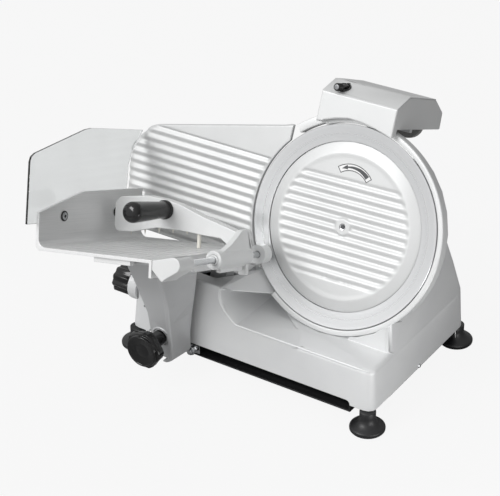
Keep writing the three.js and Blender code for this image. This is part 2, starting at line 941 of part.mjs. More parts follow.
const housing = cut(
  baseHousing(),
  push(
    "y",
    roundRect(-slot.left, slot.right, underside - 2 * slot.rise, underside + slot.rise, slot.round),
    -base.front - overrun,
    slot.depth - base.front,
    0,
    3,
  ),
  inHead(disc(hubPocket.radius, backPlate.front - overrun, hubPocket.rear, 10)),
  inHead(disc(shaft.radius + runGap, backPlate.front, bearing.bossRear, 6)),
  inHead(disc(bearing.outer + fitGap, bearing.frontAt - seatGap, bearing.bossRear + overrun, 8)),
  inHead(disc(tie.radius + fitGap, tie.bossFront - overrun, tie.bossRear + overrun, 6)),
  inHead(
    pin("z", post.radius + fitGap, over(post.bottom) - overrun, socketTop + overrun, -socket.x, socket.y, 6),
  ),
  inHead(
    pin("y", motorWall.hole, motorWall.front - overrun, motorWall.rear + overrun, 0, -pulley.spacing, 6),
  ),
  inHead(
    pin(
      "y",
      carrier.rodRadius + fitGap,
      -carrier.rodFront,
      carrier.rodRear,
      -carrier.rodX,
      rodHeight,
      6,
    ),
  ),
  inHead(
    push(
      "z",
      roundRect(
        -carrier.left - overrun,
        overrun - carrier.right,
        -carrier.slotFront,
        carrier.slotRear,
        carrier.slotRound,
      ),
      slopeTop - carrier.slotDrop,
      -carrier.bottom,
      0,
      3,
    ),
  ),
  slideRod(fitGap),
  pin("x", dial.shaftRadius + fitGap, -dial.left, lugLeft, dialY, dialZ, 6),
  pin("x", button.radius + runGap, -dial.left, lugLeft, panel.y, buttonHeights.on_button, 6),
  pin("x", button.radius + runGap, -dial.left, lugLeft, panel.y, buttonHeights.off_button, 6),
  pin(
    "y",
    gland.spigot + fitGap,
    base.rear - 2 * base.wall,
    base.rear + overrun,
    gland.x,
    up(gland.rise),
    6,
  ),
);
piece("base_housing", housing, finishes.casting, machine);

// Feet, underside plate and the black channel below the carriage slot
const corners = ["left_front", "left_rear", "right_front", "right_rear"];
footPlaces().forEach(([x, y], i) => {
  const top = underside - seatGap;
  const profile = [
    [0, top],
    [foot.stem, top],
    [foot.stem, top - foot.neckHeight],
    [foot.waist, top - 2 * foot.neckHeight],
    [foot.radius, foot.rim - bladeHeight],
    [foot.radius, -bladeHeight],
    [foot.radius - 2 * foot.cup, -bladeHeight],
    [foot.radius - 3 * foot.cup, foot.cup - bladeHeight],
    [0, foot.cup - bladeHeight],
  ];
  piece("foot_" + corners[i], spun("z", profile, [x, y, 0], 16), finishes.rubber, machine);
});

const plateTop = underside - seatGap;
const footNotches = footPlaces().map(
  ([x, y]) => pin("z", bottomPlate.notch, plateTop - far, underside, x, y, 6),
);
const bottomBlank = block(
  bottomPlate.inset - base.left,
  base.right - bottomPlate.inset,
  -bottomPlate.front,
  base.rear - bottomPlate.inset,
  plateTop - bottomPlate.sheet,
  plateTop,
);
piece("bottom_plate", cut(bottomBlank, ...footNotches), finishes.sheet, machine);

const flangeTop = plateTop - bottomPlate.sheet - seatGap;
const channelSection = polygon([
  [-channel.front, up(-channel.drop)],
  [-channel.rear, up(-channel.drop)],
  [-channel.rear, flangeTop - channel.sheet],
  [-channel.flange, flangeTop - channel.sheet],
  [-channel.flange, flangeTop],
  [-channel.rear - channel.sheet, flangeTop],
  [-channel.rear - channel.sheet, up(channel.sheet - channel.drop)],
  [-channel.front, up(channel.sheet - channel.drop)],
]);
const channelEnd = (x) =>
  block(
    x,
    x + channel.sheet,
    -channel.front,
    -channel.rear,
    up(-channel.drop),
    underside - seatGap - runGap,
  );
piece(
  "rod_channel",
  join(
    push("x", channelSection, -channel.left, channel.right),
    channelEnd(-channel.left),
    channelEnd(channel.right - channel.sheet),
  ),
  finishes.sheet,
  machine,
);

// Carriage slide: rod under caps, flat bar for the roller, slider, roller, shoe
piece("slide_rod", slideRod(0), finishes.chrome, machine);
const capRear = lugs.front - 2 * slide.y; // as far behind the rod as the lugs reach in front
const capBlank = (from) =>
  block(from, from + lugs.capDepth, -lugs.front, capRear, up(-lugs.capDrop), slideZ - seatGap);
const capLeft = lugLeft - lugs.capDepth;
piece("rod_cap_left", cut(capBlank(capLeft), slideRod(fitGap)), finishes.casting, machine);
piece("rod_cap_right", cut(capBlank(lugRight), slideRod(fitGap)), finishes.casting, machine);
const barTop = slideZ - seatGap;
piece(
  "guide_bar",
  block(capLeft, lugRight + lugs.capDepth, -bar.front, -bar.rear, barTop - bar.thickness, barTop),
  finishes.steel,
  machine,
);
const rollerZ = up(roller.rise);
const lockZ = up(lock.rise);
const sliderBody = join(
  block(
    -slider.left,
    -slider.right,
    -slide.y - slider.half,
    slider.half - slide.y,
    slideZ - slider.half,
    slideZ + slider.half,
  ),
  block(
    -slider.hornLeft,
    -slider.hornRight,
    -slider.hornFront,
    -slide.y,
    up(-slider.hornDrop),
    up(slider.hornRise),
  ),
  block(
    -slider.hornLeft,
    -slider.hornRight,
    -slider.hornFront,
    -slider.plateRear,
    up(-slider.hornDrop),
    up(slider.plateRise),
  ),
  block(
    -slider.armLeft,
    -slider.armRight,
    -slide.y,
    -slider.armRear,
    up(slider.armBottom),
    up(slider.armTop),
  ),
  pin("y", roller.pin, -slide.y + slider.half, -roller.pinRear, -roller.x, rollerZ, 5),
  pin("y", roller.washer, -roller.washerFront, -roller.pinRear, -roller.x, rollerZ, 5),
);
piece(
  "slider_block",
  cut(
    sliderBody,
    pin("x", slide.radius + fitGap, -slider.left - overrun, -slider.right + overrun, -slide.y, slideZ, 8),
    pin(
      "y",
      lock.stud + fitGap,
      -slider.hornFront - overrun,
      -slider.plateRear + overrun,
      -lock.x,
      lockZ,
      5,
    ),
  ),
  finishes.casting,
  machine,
);
const rollerProfile = [
  [roller.pin + fitGap, -roller.front],
  [roller.radius, -roller.front],
  [roller.radius, -roller.rear],
  [roller.pin + fitGap, -roller.rear],
  [roller.pin + fitGap, -roller.front],
];
piece("roller", spun("y", rollerProfile, [-roller.x, 0, rollerZ], 16), finishes.nylon, machine);
piece(
  "guide_shoe",
  join(
    block(-shoe.left, -shoe.right, -shoe.front, -shoe.rear, up(-shoe.drop), up(-shoe.topDrop)),
    block(-shoe.left, -shoe.right, -shoe.front, -shoe.lipRear, up(-shoe.drop), up(shoe.lipRise)),
    pin(
      "y",
      shoe.hex,
      -shoe.hexFront,
      -shoe.lipRear,
      -(shoe.left + shoe.right) / 2,
      up((shoe.lipRise - shoe.drop) / 2),
      3,
    ),
  ),
  finishes.chrome,
  machine,
);

// Carriage arm from the slider up to the tray
function armLoop([z, front, left, right], shrink) {
  const ridge = -arm.ridge - shrink;
  const inner = ridge - arm.rib;
  return [
    [ridge, front, z],
    [right - shrink, -arm.rear, z],
    [left + shrink, -arm.rear, z],
    [left + shrink, front + arm.step, z],
    [inner, front + arm.step, z],
    [inner, front, z],
  ];
}
function armRoomLoop([z, front, left, right]) {
  const deep = front + arm.step + arm.web;
  return [
    [-arm.ridge - arm.rib, deep, z],
    [right - arm.rib, -arm.rear + overrun, z],
    [left + arm.leftRib, -arm.rear + overrun, z],
    [left + arm.leftRib, deep, z],
  ];
}
// The arm's foot draws in towards its underside, by steps and the lean left at each
const footShares = [
  [0, 1],
  [0.25, 0.6],
  [0.5, 0.29],
  [0.75, 0.08],
  [1, 0],
];
const [lowest] = armLevels;
const armFoot = footShares.map(([rise, share]) => {
  const [, front, left, right] = lowest;
  const lean = share * arm.footLean;
  const height = up(rise * arm.footRound - arm.footDrop);
  return armLoop([height, front + lean, left + lean, right - lean / 2], arm.footRound * share);
});
const trayUnder = -tray.floor - tray.thickness - seatGap;
const armLugOutline = polygon(
  sized(armLugShares, armLug.reach).map(([s, h]) => [armFlange.right + s, trayUnder + h]),
);
const armBody = join(
  cut(
    join(
      cut(
        loft([...armFoot, ...armLevels.map((level) => armLoop(level, 0))]),
        loft([[up(arm.pocketRise), ...lowest.slice(1)], ...armLevels].map(armRoomLoop)),
      ),
      pin("y", arm.bossRadius, -arm.bossFront, -arm.rear, -lock.x, lockZ, 6),
    ),
    inTray(block(-far, far, -far, far, trayUnder, far)),
  ),
  inTray(boxOf({ ...armFlange, bottom: trayUnder - armFlange.depth, top: trayUnder })),
  inTray(push("y", armLugOutline, -armLug.front, -armLug.rear)),
);
piece(
  "carriage_arm",
  cut(
    armBody,
    pin("y", lock.stud + fitGap, -arm.bossFront - overrun, -arm.rear + overrun, -lock.x, lockZ, 6),
  ),
  finishes.casting,
  machine,
);
const studProfile = [
  [0, -lock.studFront],
  [lock.stud, -lock.studFront],
  [lock.stud, -slider.plateRear + seatGap],
  [lock.headRadius, -slider.plateRear + seatGap],
  [lock.headRadius, -lock.headRear],
  [0, -lock.headRear],
];
piece("lock_stud", spun("y", studProfile, [-lock.x, 0, lockZ], 12), finishes.chrome, machine);
const knobAt = [-lock.x, 0, lockZ];
const knobBody = join(
  spun(
    "y",
    [
      [0, -lock.front],
      [lock.hub, -lock.front],
      [lock.hub + runGap, -lock.bodyRear],
      [0, -lock.bodyRear],
    ],
    knobAt,
    14,
  ),
  push("y", lobed(lock.radius, lock.lobes, lock.scallop), -lock.bodyFront, -lock.bodyRear, lock.round)
    .translate(...knobAt),
  spun(
    "y",
    [
      [0, -lock.bodyFront + lock.round],
      [lock.rimRadius, -lock.bodyFront + lock.round],
      [lock.rimRadius, -lock.rimFront + runGap],
      [lock.rimRadius - runGap, -lock.rimFront],
      [0, -lock.rimFront],
    ],
    knobAt,
    20,
  ),
);
piece(
  "lock_knob",
  cut(
    knobBody,
    spun(
      "y",
      [
        [0, -lock.rimFront - overrun],
        [lock.dish, -lock.rimFront - overrun],
        [lock.dish, -lock.rimFront],
        [lock.dish / 2, -lock.bodyFront],
        [0, -lock.bodyFront + runGap],
      ],
      knobAt,
      16,
    ),
    pin("y", lock.stud + fitGap, -lock.studFront - seatGap, -lock.front + overrun, -lock.x, lockZ, 5),
  ),
  finishes.plastic,
  machine,
);

// Slice thickness control
const dialPlace = (shape) => shape.translate(0, dialY, dialZ);
const dialKnob = dialPlace(
  push("x", lobed(dial.radius, dial.flutes, dial.fluteDepth, 4), -dial.left, -dial.right, dial.round),
);
piece(
  "thickness_dial",
  cut(
    dialKnob,
    pin("x", dial.shaftRadius + fitGap, -dial.shaftLeft - seatGap, -dial.right + overrun, dialY, dialZ, 6),
  ),
  finishes.plastic,
  machine,
);
const leftSkin = (gap) => draftedBox(blockTop, base.blockRight, base.rear, -gap, underside - far, 0);
piece(
  "dial_collar",
  cut(
    pin("x", dial.collarRadius, -dial.right + seatGap, -dial.collarRight, dialY, dialZ, 10),
    leftSkin(seatGap),
    pin("x", dial.shaftRadius + fitGap, -dial.left, -dial.collarRight + overrun, dialY, dialZ, 6),
  ),
  finishes.nylon,
  machine,
);
piece(
  "dial_shaft",
  join(
    pin("x", dial.shaftRadius, -dial.shaftLeft, -dial.camRight, dialY, dialZ, 6),
    pin("x", dial.camRadius, -dial.camLeft, -dial.camRight, dialY + dial.camOffset, dialZ, 8),
  ),
  finishes.steel,
  machine,
);
const camDepth = Math.cos(bladeTilt) * dialY - Math.sin(bladeTilt) * dialZ; // the cam in the head frame
const followerFront = camDepth + carrier.followerReach;
piece(
  "gauge_rod",
  join(
    pin("y", carrier.rodRadius, -carrier.rodFront, carrier.rodRear, -carrier.rodX, rodHeight, 6),
    block(
      -carrier.followerLeft,
      -carrier.rodX,
      followerFront,
      followerFront + carrier.followerDepth,
      rodHeight - carrier.followerDrop,
      rodHeight,
    ),
  ),
  finishes.steel,
  head,
);
const clampBore = pin(
  "y",
  carrier.rodRadius + fitGap,
  -far,
  far,
  -carrier.rodX,
  rodHeight,
  6,
);
piece(
  "gauge_carrier",
  cut(
    join(
      pin("y", carrier.clampRadius, carrier.clampFront, carrier.footBack, -carrier.rodX, rodHeight, 8),
      block(
        -carrier.left,
        -carrier.right,
        carrier.clampFront,
        carrier.footBack,
        rodHeight,
        -carrier.bottom,
      ),
      block(
        -carrier.plateLeft,
        -carrier.plateRight,
        gauge.back + seatGap,
        carrier.back,
        -carrier.bottom,
        -carrier.top,
      ),
      block(
        -carrier.left,
        -carrier.right,
        carrier.clampFront,
        carrier.footBack,
        -carrier.bottom - overrun,
        -carrier.top - carrier.footBack,
      ),
    ),
    clampBore,
  ),
  finishes.casting,
  head,
);

// Gauge plate: its right edge follows the blade
function gaugeSlab(inset, from, to) {
  return cut(
    push("y", polygon(insetPoints(gaugeOutline, inset)), from, to),
    disc(gaugeArc + inset, -far, far, 24),
  );
}
const gaugeRibs = [];
for (let i = 0; i < gauge.ribCount; i++) {
  const middle = i * gauge.ribPitch - gauge.firstRib;
  gaugeRibs.push(block(-far, 0, 0, gauge.back, middle - gauge.ribWidth / 2, middle + gauge.ribWidth / 2));
}
gaugeRibs.push(block(-far, 0, 0, gauge.back, gauge.plainFrom, far));
piece(
  "gauge_plate",
  join(
    gaugeSlab(0, gauge.ribHeight, gauge.back),
    overlap(gaugeSlab(gauge.inset, 0, gauge.back - runGap), join(...gaugeRibs)),
  ),
  finishes.aluminium,
  head,
);

// Blade, its cover and the drive behind it
const bladeProfile = [
  [blade.bore, blade.dishDepth],
  [dishRadius, blade.dishDepth],
  [dishRadius, blade.lipDepth],
  [bladeRadius - blade.edgeWidth, blade.lipDepth],
  [bladeRadius, blade.edgeDepth],
  [bladeRadius - blade.bevelWidth, blade.bevelBack],
  [bladeRadius - blade.rimWidth, blade.rimBack],
  [bladeRadius - blade.webWidth, blade.webBack],
  [blade.hubRadius, blade.hubBack],
  [blade.bore, blade.hubBack],
  [blade.bore, blade.dishDepth],
];
piece("blade", turned("y", bladeProfile, 48), finishes.steel, head);
const coverProfile = [
  [tie.radius + fitGap, 0],
  [coverRadius, 0],
  [coverRadius, cover.rimThickness],
  [coverRadius - cover.rim, cover.thickness],
  [tie.radius + fitGap, cover.thickness],
  [tie.radius + fitGap, 0],
];
const coverRibs = [];
for (let i = 0; i < cover.ribCount; i++) {
  const middle = i * cover.ribPitch - cover.firstRib;
  coverRibs.push(block(-far, far, -far, far, middle - cover.ribWidth / 2, middle + cover.ribWidth / 2));
}
const coverPocket = cut(
  disc(coverRadius - cover.rim, -overrun, cover.pocketDepth, 24),
  disc(cover.bossRadius, -far, far, 6),
  ...coverRibs,
);
const screwCone = (gap) =>
  turned(
    "y",
    [
      [0, -overrun],
      [tie.headRadius + gap, -overrun],
      [tie.headRadius + gap, tie.headInset],
      [tie.radius + gap, tie.headInset + tie.headDepth],
      [0, tie.headInset + tie.headDepth],
    ],
    24,
  );
piece(
  "blade_cover",
  cut(turned("y", coverProfile, 48), coverPocket, screwCone(fitGap)),
  finishes.aluminium,
  head,
);
const tieProfile = [
  [0, tie.headInset + tie.socketDepth],
  [tie.socketRadius, tie.headInset + tie.socketDepth],
  [tie.socketRadius, tie.headInset],
  [tie.headRadius, tie.headInset],
  [tie.radius, tie.headInset + tie.headDepth],
  [tie.radius, tie.end],
  [0, tie.end],
];
piece("tie_rod", turned("y", tieProfile, 12), finishes.chrome, head);
const knobFront = tie.bossRear + seatGap;
piece(
  "release_knob",
  cut(
    join(
      disc(releaseKnob.neckRadius, knobFront, knobFront + releaseKnob.depth - runGap, 8),
      push(
        "y",
        lobed(releaseKnob.radius, releaseKnob.lobes, releaseKnob.scallop, 4),
        knobFront + releaseKnob.neck,
        knobFront + releaseKnob.depth,
        releaseKnob.round,
      ),
    ),
    disc(tie.radius + fitGap, knobFront - overrun, tie.end + seatGap, 6),
  ),
  finishes.plastic,
  head,
);
const shaftProfile = [
  [shaft.bore, shaft.spigotFront],
  [blade.bore - fitGap, shaft.spigotFront],
  [blade.bore - fitGap, blade.hubBack + seatGap],
  [shaft.flangeRadius, blade.hubBack + seatGap],
  [shaft.flangeRadius, shaft.flangeRear],
  [shaft.radius, shaft.flangeRear],
  [shaft.radius, shaft.rear],
  [shaft.bore, shaft.rear],
  [shaft.bore, shaft.spigotFront],
];
piece("blade_shaft", turned("y", shaftProfile, 18), finishes.steel, head);
const ringProfile = (inner, outer, from, to) => [
  [inner, from],
  [outer, from],
  [outer, to],
  [inner, to],
  [inner, from],
];
const bearingRing = (at) =>
  turned("y", ringProfile(shaft.radius + fitGap, bearing.outer, at, at + bearing.width), 16);
piece("bearing_front", bearingRing(bearing.frontAt), finishes.chrome, head);
piece("bearing_rear", bearingRing(bearing.rearAt), finishes.chrome, head);
piece(
  "blade_pulley",
  turned("y", ringProfile(shaft.radius + fitGap, pulley.radius, pulley.front, pulley.rear), 24),
  finishes.casting,
  head,
);
piece(
  "motor_pulley",
  spun(
    "y",
    ringProfile(motor.shaftRadius + fitGap, pulley.smallRadius, pulley.front, pulley.rear),
    [0, 0, -pulley.spacing],
    14,
  ),
  finishes.casting,
  head,
);
const motorProfile = [
  [0, motor.shaftFront],
  [motor.shaftRadius, motor.shaftFront],
  [motor.shaftRadius, motor.front],
  [motor.radius, motor.front],
  [motor.radius, motor.shoulder],
  [motor.capRadius, motor.rear],
  [0, motor.rear],
];
piece("motor_body", spun("y", motorProfile, [0, 0, -pulley.spacing], 20), finishes.sheet, head);

// Belt: two arcs joined by the outer tangents of the pulleys
function beltShape(grow) {
  const big = pulley.radius + grow;
  const small = pulley.smallRadius + grow;
  const wrap = Math.acos((big - small) / pulley.spacing);
  const down = -Math.PI / 2;
  const shape = new THREE.Shape();
  shape.absarc(0, 0, big, down + wrap, down - wrap + 2 * Math.PI, false);
  shape.absarc(0, -pulley.spacing, small, down - wrap, down + wrap, false);
  return shape;
}
const beltSpan = [pulley.front + pulley.beltInset, pulley.rear - pulley.beltInset];
piece(
  "drive_belt",
  cut(
    push("y", beltShape(seatGap + pulley.belt), beltSpan[0], beltSpan[1], 0, 9),
    push("y", beltShape(seatGap), beltSpan[0] - overrun, beltSpan[1] + overrun, 0, 9),
  ),
  finishes.rubber,
  head,
);

// Ring guard around the blade, with the pad beside the gauge plate
function arcBand(inner, outer, from, to) {
  const shape = new THREE.Shape();
  shape.absarc(0, 0, outer, from, to, false);
  shape.absarc(0, 0, inner, to, from, true);
  return shape;
}
const ringRear = backPlate.front - seatGap;
const padInner = bladeRadius + ring.padGap;
piece(
  "ring_guard",
  join(
    push(
      "y",
      arcBand(bladeRadius + ring.gap, ringOuter, ring.startAngle, ring.endAngle),
      0,
      ringRear,
      0,
      40,
    ),
    push("y", arcBand(padInner, padInner + ring.padWidth, ring.padAngle, ring.endAngle), 0, ringRear, 0, 6),
  ),
  finishes.casting,
  head,
);

// Sharpener: hood on a frame, the frame on a post, stones on pressed spindles
const [hoodFront] = hoodOutline[0];
const hoodRear = hoodOutline[3][0];
const roomFloor = over(-hood.skirtDrop);
const hoodRoom = insetPoints(
  [[hoodFront, roomFloor], [hoodRear, roomFloor], ...hoodOutline.slice(3)],
  hood.wall,
);
const pinFar = pinKnob.end + 2 * overrun;
piece(
  "sharpener_hood",
  cut(
    push("x", polygon(hoodOutline), -hood.left, hood.right),
    push("x", polygon(hoodRoom), hood.wall - hood.left, hood.right - hood.wall),
    pin("y", bladeRadius + hood.rim, hoodFront - overrun, -hoodFront, 0, 0, 24),
    pin("y", hood.pinHole, hoodFront - overrun, pinLug.front - runGap, pinKnob.x, over(pinKnob.rise), 8),
    pin("y", hood.pinBore, pinLug.front - overrun, pinFar, pinKnob.x, over(pinKnob.rise), 8),
  ),
  finishes.casting,
  head,
);
const edgeBox = (box) => boxOf({ ...box, bottom: over(box.bottom), top: over(box.top) });
// The frame's plate lies against the hood's ceiling
const ceiling = push("x", polygon(insetPoints(hoodRoom, seatGap)), -framePlate.left, framePlate.right);
const plateSpace = block(
  -framePlate.left,
  framePlate.right,
  framePlate.front,
  framePlate.rear,
  over(framePlate.bottom),
  far,
);
piece(
  "sharpener_frame",
  cut(
    join(
      overlap(plateSpace, ceiling),
      push("x", polygon(onHood(frameArmShares)), -frameArm.left, -frameArm.right),
      pin("z", sleeve.radius, over(sleeve.bottom), over(sleeve.top), -socket.x, socket.y, 6),
      edgeBox(pinLug),
      edgeBox(grindWall),
    ),
    pin(
      "z",
      post.radius + fitGap,
      over(sleeve.bottom) - overrun,
      over(sleeve.boreTop),
      -socket.x,
      socket.y,
      6,
    ),
    pin("y", pinKnob.bore, pinLug.front - overrun, pinFar, pinKnob.x, over(pinKnob.rise), 6),
    pin(
      "y",
      grind.shaft + fitGap,
      grindWall.front - overrun,
      grindWall.rear + overrun,
      grind.x,
      over(grind.rise),
      6,
    ),
    pin("y", deburr.shaft + fitGap, deburr.rear, deburr.shaftRear, deburr.x, over(deburr.rise), 6),
  ),
  finishes.casting,
  head,
);
const postProfile = [
  [0, over(post.bottom)],
  [post.radius, over(post.bottom)],
  [post.radius, over(post.collarBottom)],
  [post.collar, over(post.collarBottom)],
  [post.collar, over(post.collarTop)],
  [post.radius, over(post.collarTop)],
  [post.radius, over(post.top)],
  [0, over(post.top)],
];
piece("sharpener_post", spun("z", postProfile, [-socket.x, socket.y, 0], 12), finishes.chrome, head);
const pinProfile = [
  [0, -pinKnob.front],
  [pinKnob.headRadius - pinKnob.bevel / 2, -pinKnob.front],
  [pinKnob.headRadius, pinKnob.bevel - pinKnob.front],
  [pinKnob.headRadius, -pinKnob.headRear],
  [pinKnob.shank, pinKnob.bevel - pinKnob.headRear],
  [pinKnob.shank, pinKnob.end],
  [0, pinKnob.end],
];
const pinAt = [pinKnob.x, 0, over(pinKnob.rise)];
piece("sharpener_pin", spun("y", pinProfile, pinAt, 12), finishes.plastic, head);
const stone = (shape, thickness) => [
  [shape.shaft + fitGap, shape.front],
  [shape.radius, shape.front],
  [shape.radius, shape.front + thickness],
  [shape.shaft + fitGap, shape.front + thickness],
  [shape.shaft + fitGap, shape.front],
];
piece(
  "grinding_stone",
  spun("y", stone(grind, grind.rear - grind.front), [grind.x, 0, over(grind.rise)], 24),
  finishes.stone,
  head,
);
const grindShaft = [
  [0, grind.shaftFront],
  [grind.shaft, grind.shaftFront],
  [grind.shaft, grind.collarFront],
  [grind.collar, grind.collarFront],
  [grind.collar, grind.front - seatGap],
  [grind.shaft, grind.front - seatGap],
  [grind.shaft, grind.shaftRear],
  [0, grind.shaftRear],
];
piece("grind_spindle", spun("y", grindShaft, [grind.x, 0, over(grind.rise)], 10), finishes.steel, head);
piece(
  "deburring_stone",
  spun("y", stone(deburr, deburr.rear - deburr.front), [deburr.x, 0, over(deburr.rise)], 18),
  finishes.stone,
  head,
);
const deburrShaft = [
  [0, deburr.capFront],
  [deburr.cap, deburr.capFront],
  [deburr.cap, deburr.front - seatGap],
  [deburr.shaft, deburr.front - seatGap],
  [deburr.shaft, deburr.shaftRear],
  [0, deburr.shaftRear],
];
piece("deburr_spindle", spun("y", deburrShaft, [deburr.x, 0, over(deburr.rise)], 10), finishes.steel, head);

// Tray with its side wall, skirt and ribs; the arm's lug passes through the skirt
const floorBottom = -tray.floor - tray.thickness;
const wallOuter = -tray.wallFace - tray.thickness;
const traySection = new THREE.Shape();
traySection.moveTo(wallOuter, tray.wallTop);
traySection.lineTo(wallOuter, floorBottom + tray.thickness);
traySection.lineTo(wallOuter + tray.thickness, floorBottom);
traySection.lineTo(-tray.right, floorBottom);
traySection.lineTo(-tray.right, -tray.floor);
traySection.lineTo(tray.fillet - tray.wallFace, -tray.floor);
traySection.absarc(
  tray.fillet - tray.wallFace,
  tray.fillet - tray.floor,
  tray.fillet,
  -Math.PI / 2,
  -Math.PI,
  true,
);
traySection.lineTo(-tray.wallFace, tray.wallTop);
const trayRibs = [];
for (let i = 0; i < tray.ribs; i++) {
  const s = -tray.ribFirst + (i * (tray.ribFirst - tray.ribLast)) / (tray.ribs - 1);
  trayRibs.push(
    block(
      s - tray.ribHalf,
      s + tray.ribHalf,
      -tray.front,
      -tray.rear,
      -tray.floor - runGap,
      tray.ribHeight - tray.floor,
    ),
  );
}
const wallChamfer = push(
  "x",
  polygon([
    [-tray.front - overrun, tray.chamferHeight],
    [-tray.chamferRear, tray.wallTop],
    [-tray.chamferRear, tray.wallTop + tray.floor],
    [-tray.front - overrun, tray.wallTop + tray.floor],
  ]),
  -far,
  0,
);
const boltPlaces = [-bolt.front, -bolt.rear];
const boltHole = (u) => pin("x", bolt.shank + fitGap, -far, -tray.wallFace + overrun, u, bolt.height, 5);
const underRib = {
  left: -tray.underRibLeft,
  right: -tray.underRibRight,
  front: tray.thickness - tray.front,
  rear: tray.thickness + tray.underRibWidth - tray.front,
  bottom: floorBottom - tray.underRibDepth,
  top: -tray.floor - runGap,
};
piece(
  "tray",
  cut(
    join(
      push("y", traySection, -tray.front, -tray.rear, 0, 5),
      block(
        -tray.right - tray.thickness,
        -tray.right,
        -tray.front,
        -tray.rear,
        -tray.skirtDrop,
        -tray.floor - runGap,
      ),
      boxOf(underRib),
      ...trayRibs,
    ),
    wallChamfer,
    block(
      -tray.right - 2 * tray.thickness,
      overrun - tray.right,
      -tray.notchFront,
      -tray.notchRear,
      -far,
      floorBottom,
    ),
    ...boltPlaces.map(boltHole),
  ),
  finishes.steel,
  carriageTray,
);
const guardRight = wallOuter - seatGap;
piece(
  "acrylic_guard",
  cut(
    push("x", polygon(sized(guardShares, tray.front)), guardRight - guardThickness, guardRight),
    ...boltPlaces.map(boltHole),
  ),
  finishes.acrylic,
  carriageTray,
);
const boltNames = ["guard_bolt_front", "guard_bolt_rear"];
boltPlaces.forEach((u, i) => {
  const headFace = -tray.wallFace + seatGap;
  const nutFace = guardRight - guardThickness - seatGap;
  const profile = [
    [0, nutFace - bolt.nutDepth],
    [bolt.nut, nutFace - bolt.nutDepth],
    [bolt.nut, nutFace],
    [bolt.shank, nutFace],
    [bolt.shank, headFace],
    [bolt.head, headFace],
    [bolt.head - runGap, headFace + bolt.headDepth],
    [0, headFace + bolt.headDepth],
  ];
  piece(boltNames[i], spun("x", profile, [0, u, bolt.height], 10), finishes.plastic, carriageTray);
});

// Rod beside the tray with its two brackets
const rodBore = (from, to) => pin("y", guideRod.radius + fitGap, from, to, guideRod.s, guideRod.h, 6);
const bracket = (shape, shares, bore) =>
  cut(
    join(
      push(
        "y",
        polygon(sized(shares, guideRod.reach)),
        -shape.front,
        -shape.rear,
      ).translate(guideRod.s, 0, guideRod.h),
      pin("y", shape.boss, -shape.front, -shape.rear, guideRod.s, guideRod.h, 8),
    ),
    bore,
  );
piece(
  "rod_bracket_front",
  bracket(frontBracket, frontBracketShares, rodBore(-frontBracket.blind, -frontBracket.rear + overrun)),
  finishes.casting,
  carriageTray,
);
piece(
  "rod_bracket_rear",
  bracket(
    rearBracket,
    rearBracketShares,
    rodBore(-rearBracket.front - overrun, -rearBracket.rear + overrun),
  ),
  finishes.casting,
  carriageTray,
);
piece(
  "guide_rod",
  pin("y", guideRod.radius, -guideRod.front, -guideRod.rear, guideRod.s, guideRod.h, 6),
  finishes.chrome,
  carriageTray,
);

// Pusher: it slides and swings on the rod
const pusherGroup = new THREE.Group();
pusherGroup.position.set(guideRod.s, 0, guideRod.h);
carriageTray.add(pusherGroup);
piece(
  "pusher_bush",
  turned(
    "y",
    ringProfile(
      guideRod.radius + fitGap,
      pusher.bush,
      -pusher.front - pusher.bushProud,
      pusher.bushProud - pusher.rear,
    ),
    16,
  ),
  finishes.brass,
  pusherGroup,
);
const pusherOutline = sized(pusherShares, pusherReach);
const pusherWeb = sized(pusherWebShares, pusher.front, pusherReach);
const pusherBody = cut(
  join(
    cut(
      push("y", polygon(pusherOutline), -pusher.face, -pusher.rimRear),
      push(
        "y",
        polygon(insetPoints(pusherOutline, pusher.rim)),
        pusher.plate - pusher.face,
        overrun - pusher.rimRear,
      ),
    ),
    push("x", polygon(pusherWeb), pusher.webLeft, pusher.webRight),
    boxOf(pusherSkirt),
    boxOf(pusherTab),
    disc(pusher.hub, -pusher.front, -pusher.rear, 8),
  ),
  disc(pusher.bush + fitGap, -pusher.front - overrun, -pusher.rear + overrun, 6),
);
piece("pusher", pusherBody, finishes.casting, pusherGroup);
const handleProfile = handleShares.map(([radius, along]) => [
  radius * handle.radius,
  -handle.base - along * handle.length,
]);
piece(
  "pusher_handle",
  spun("y", handleProfile, [handle.s, 0, handle.h], 18),
  finishes.plastic,
  pusherGroup,
);
const spikeU = (spikeBar.front + spikeBar.rear) / 2;
const spikeTips = spikes.tipShares.map((share, i) => {
  const tip = share * spikeBar.bottom;
  const cone = [
    [0, tip],
    [spikes.radius, spikeBar.bottom - runGap],
    [spikes.radius, spikeBar.bottom + runGap],
    [0, spikeBar.bottom + runGap],
  ];
  return spun("z", cone, [spikes.first + i * spikes.pitch, spikeU, 0], 6);
});
piece(
  "pusher_spikes",
  join(boxOf(spikeBar), ...spikeTips),
  finishes.steel,
  pusherGroup,
);
piece("rest_peg", pin("z", peg.radius, peg.bottom, peg.top, peg.s, peg.u, 5), finishes.nylon, pusherGroup);

// Switch on the left end wall and cord gland in the rear wall
piece(
  "switch_panel",
  cut(
    panelTool,
    leftSkin(seatGap),
    pin("x", button.radius + fitGap, -far, 0, panel.y, buttonHeights.on_button, 6),
    pin("x", button.radius + fitGap, -far, 0, panel.y, buttonHeights.off_button, 6),
  ),
  finishes.plastic,
  machine,
);
for (const [name, finish] of [
  ["on_button", finishes.green],
  ["off_button", finishes.red],
]) {
  const cap = push("x", circle(button.radius), -button.left, -button.right, button.round, 6);
  piece(name, cap.translate(0, panel.y, buttonHeights[name]), finish, machine);
}
const glandProfile = [
  [0, -base.wall],
  [gland.spigot, -base.wall],
  [gland.spigot, seatGap],
  [gland.flange, seatGap],
  [gland.flange, gland.flangeDepth],
  [gland.radius, gland.flangeDepth],
  [gland.radius - runGap, gland.length],
  [gland.bore, gland.length],
  [gland.bore, gland.length / 2],
  [0, gland.length / 2],
];
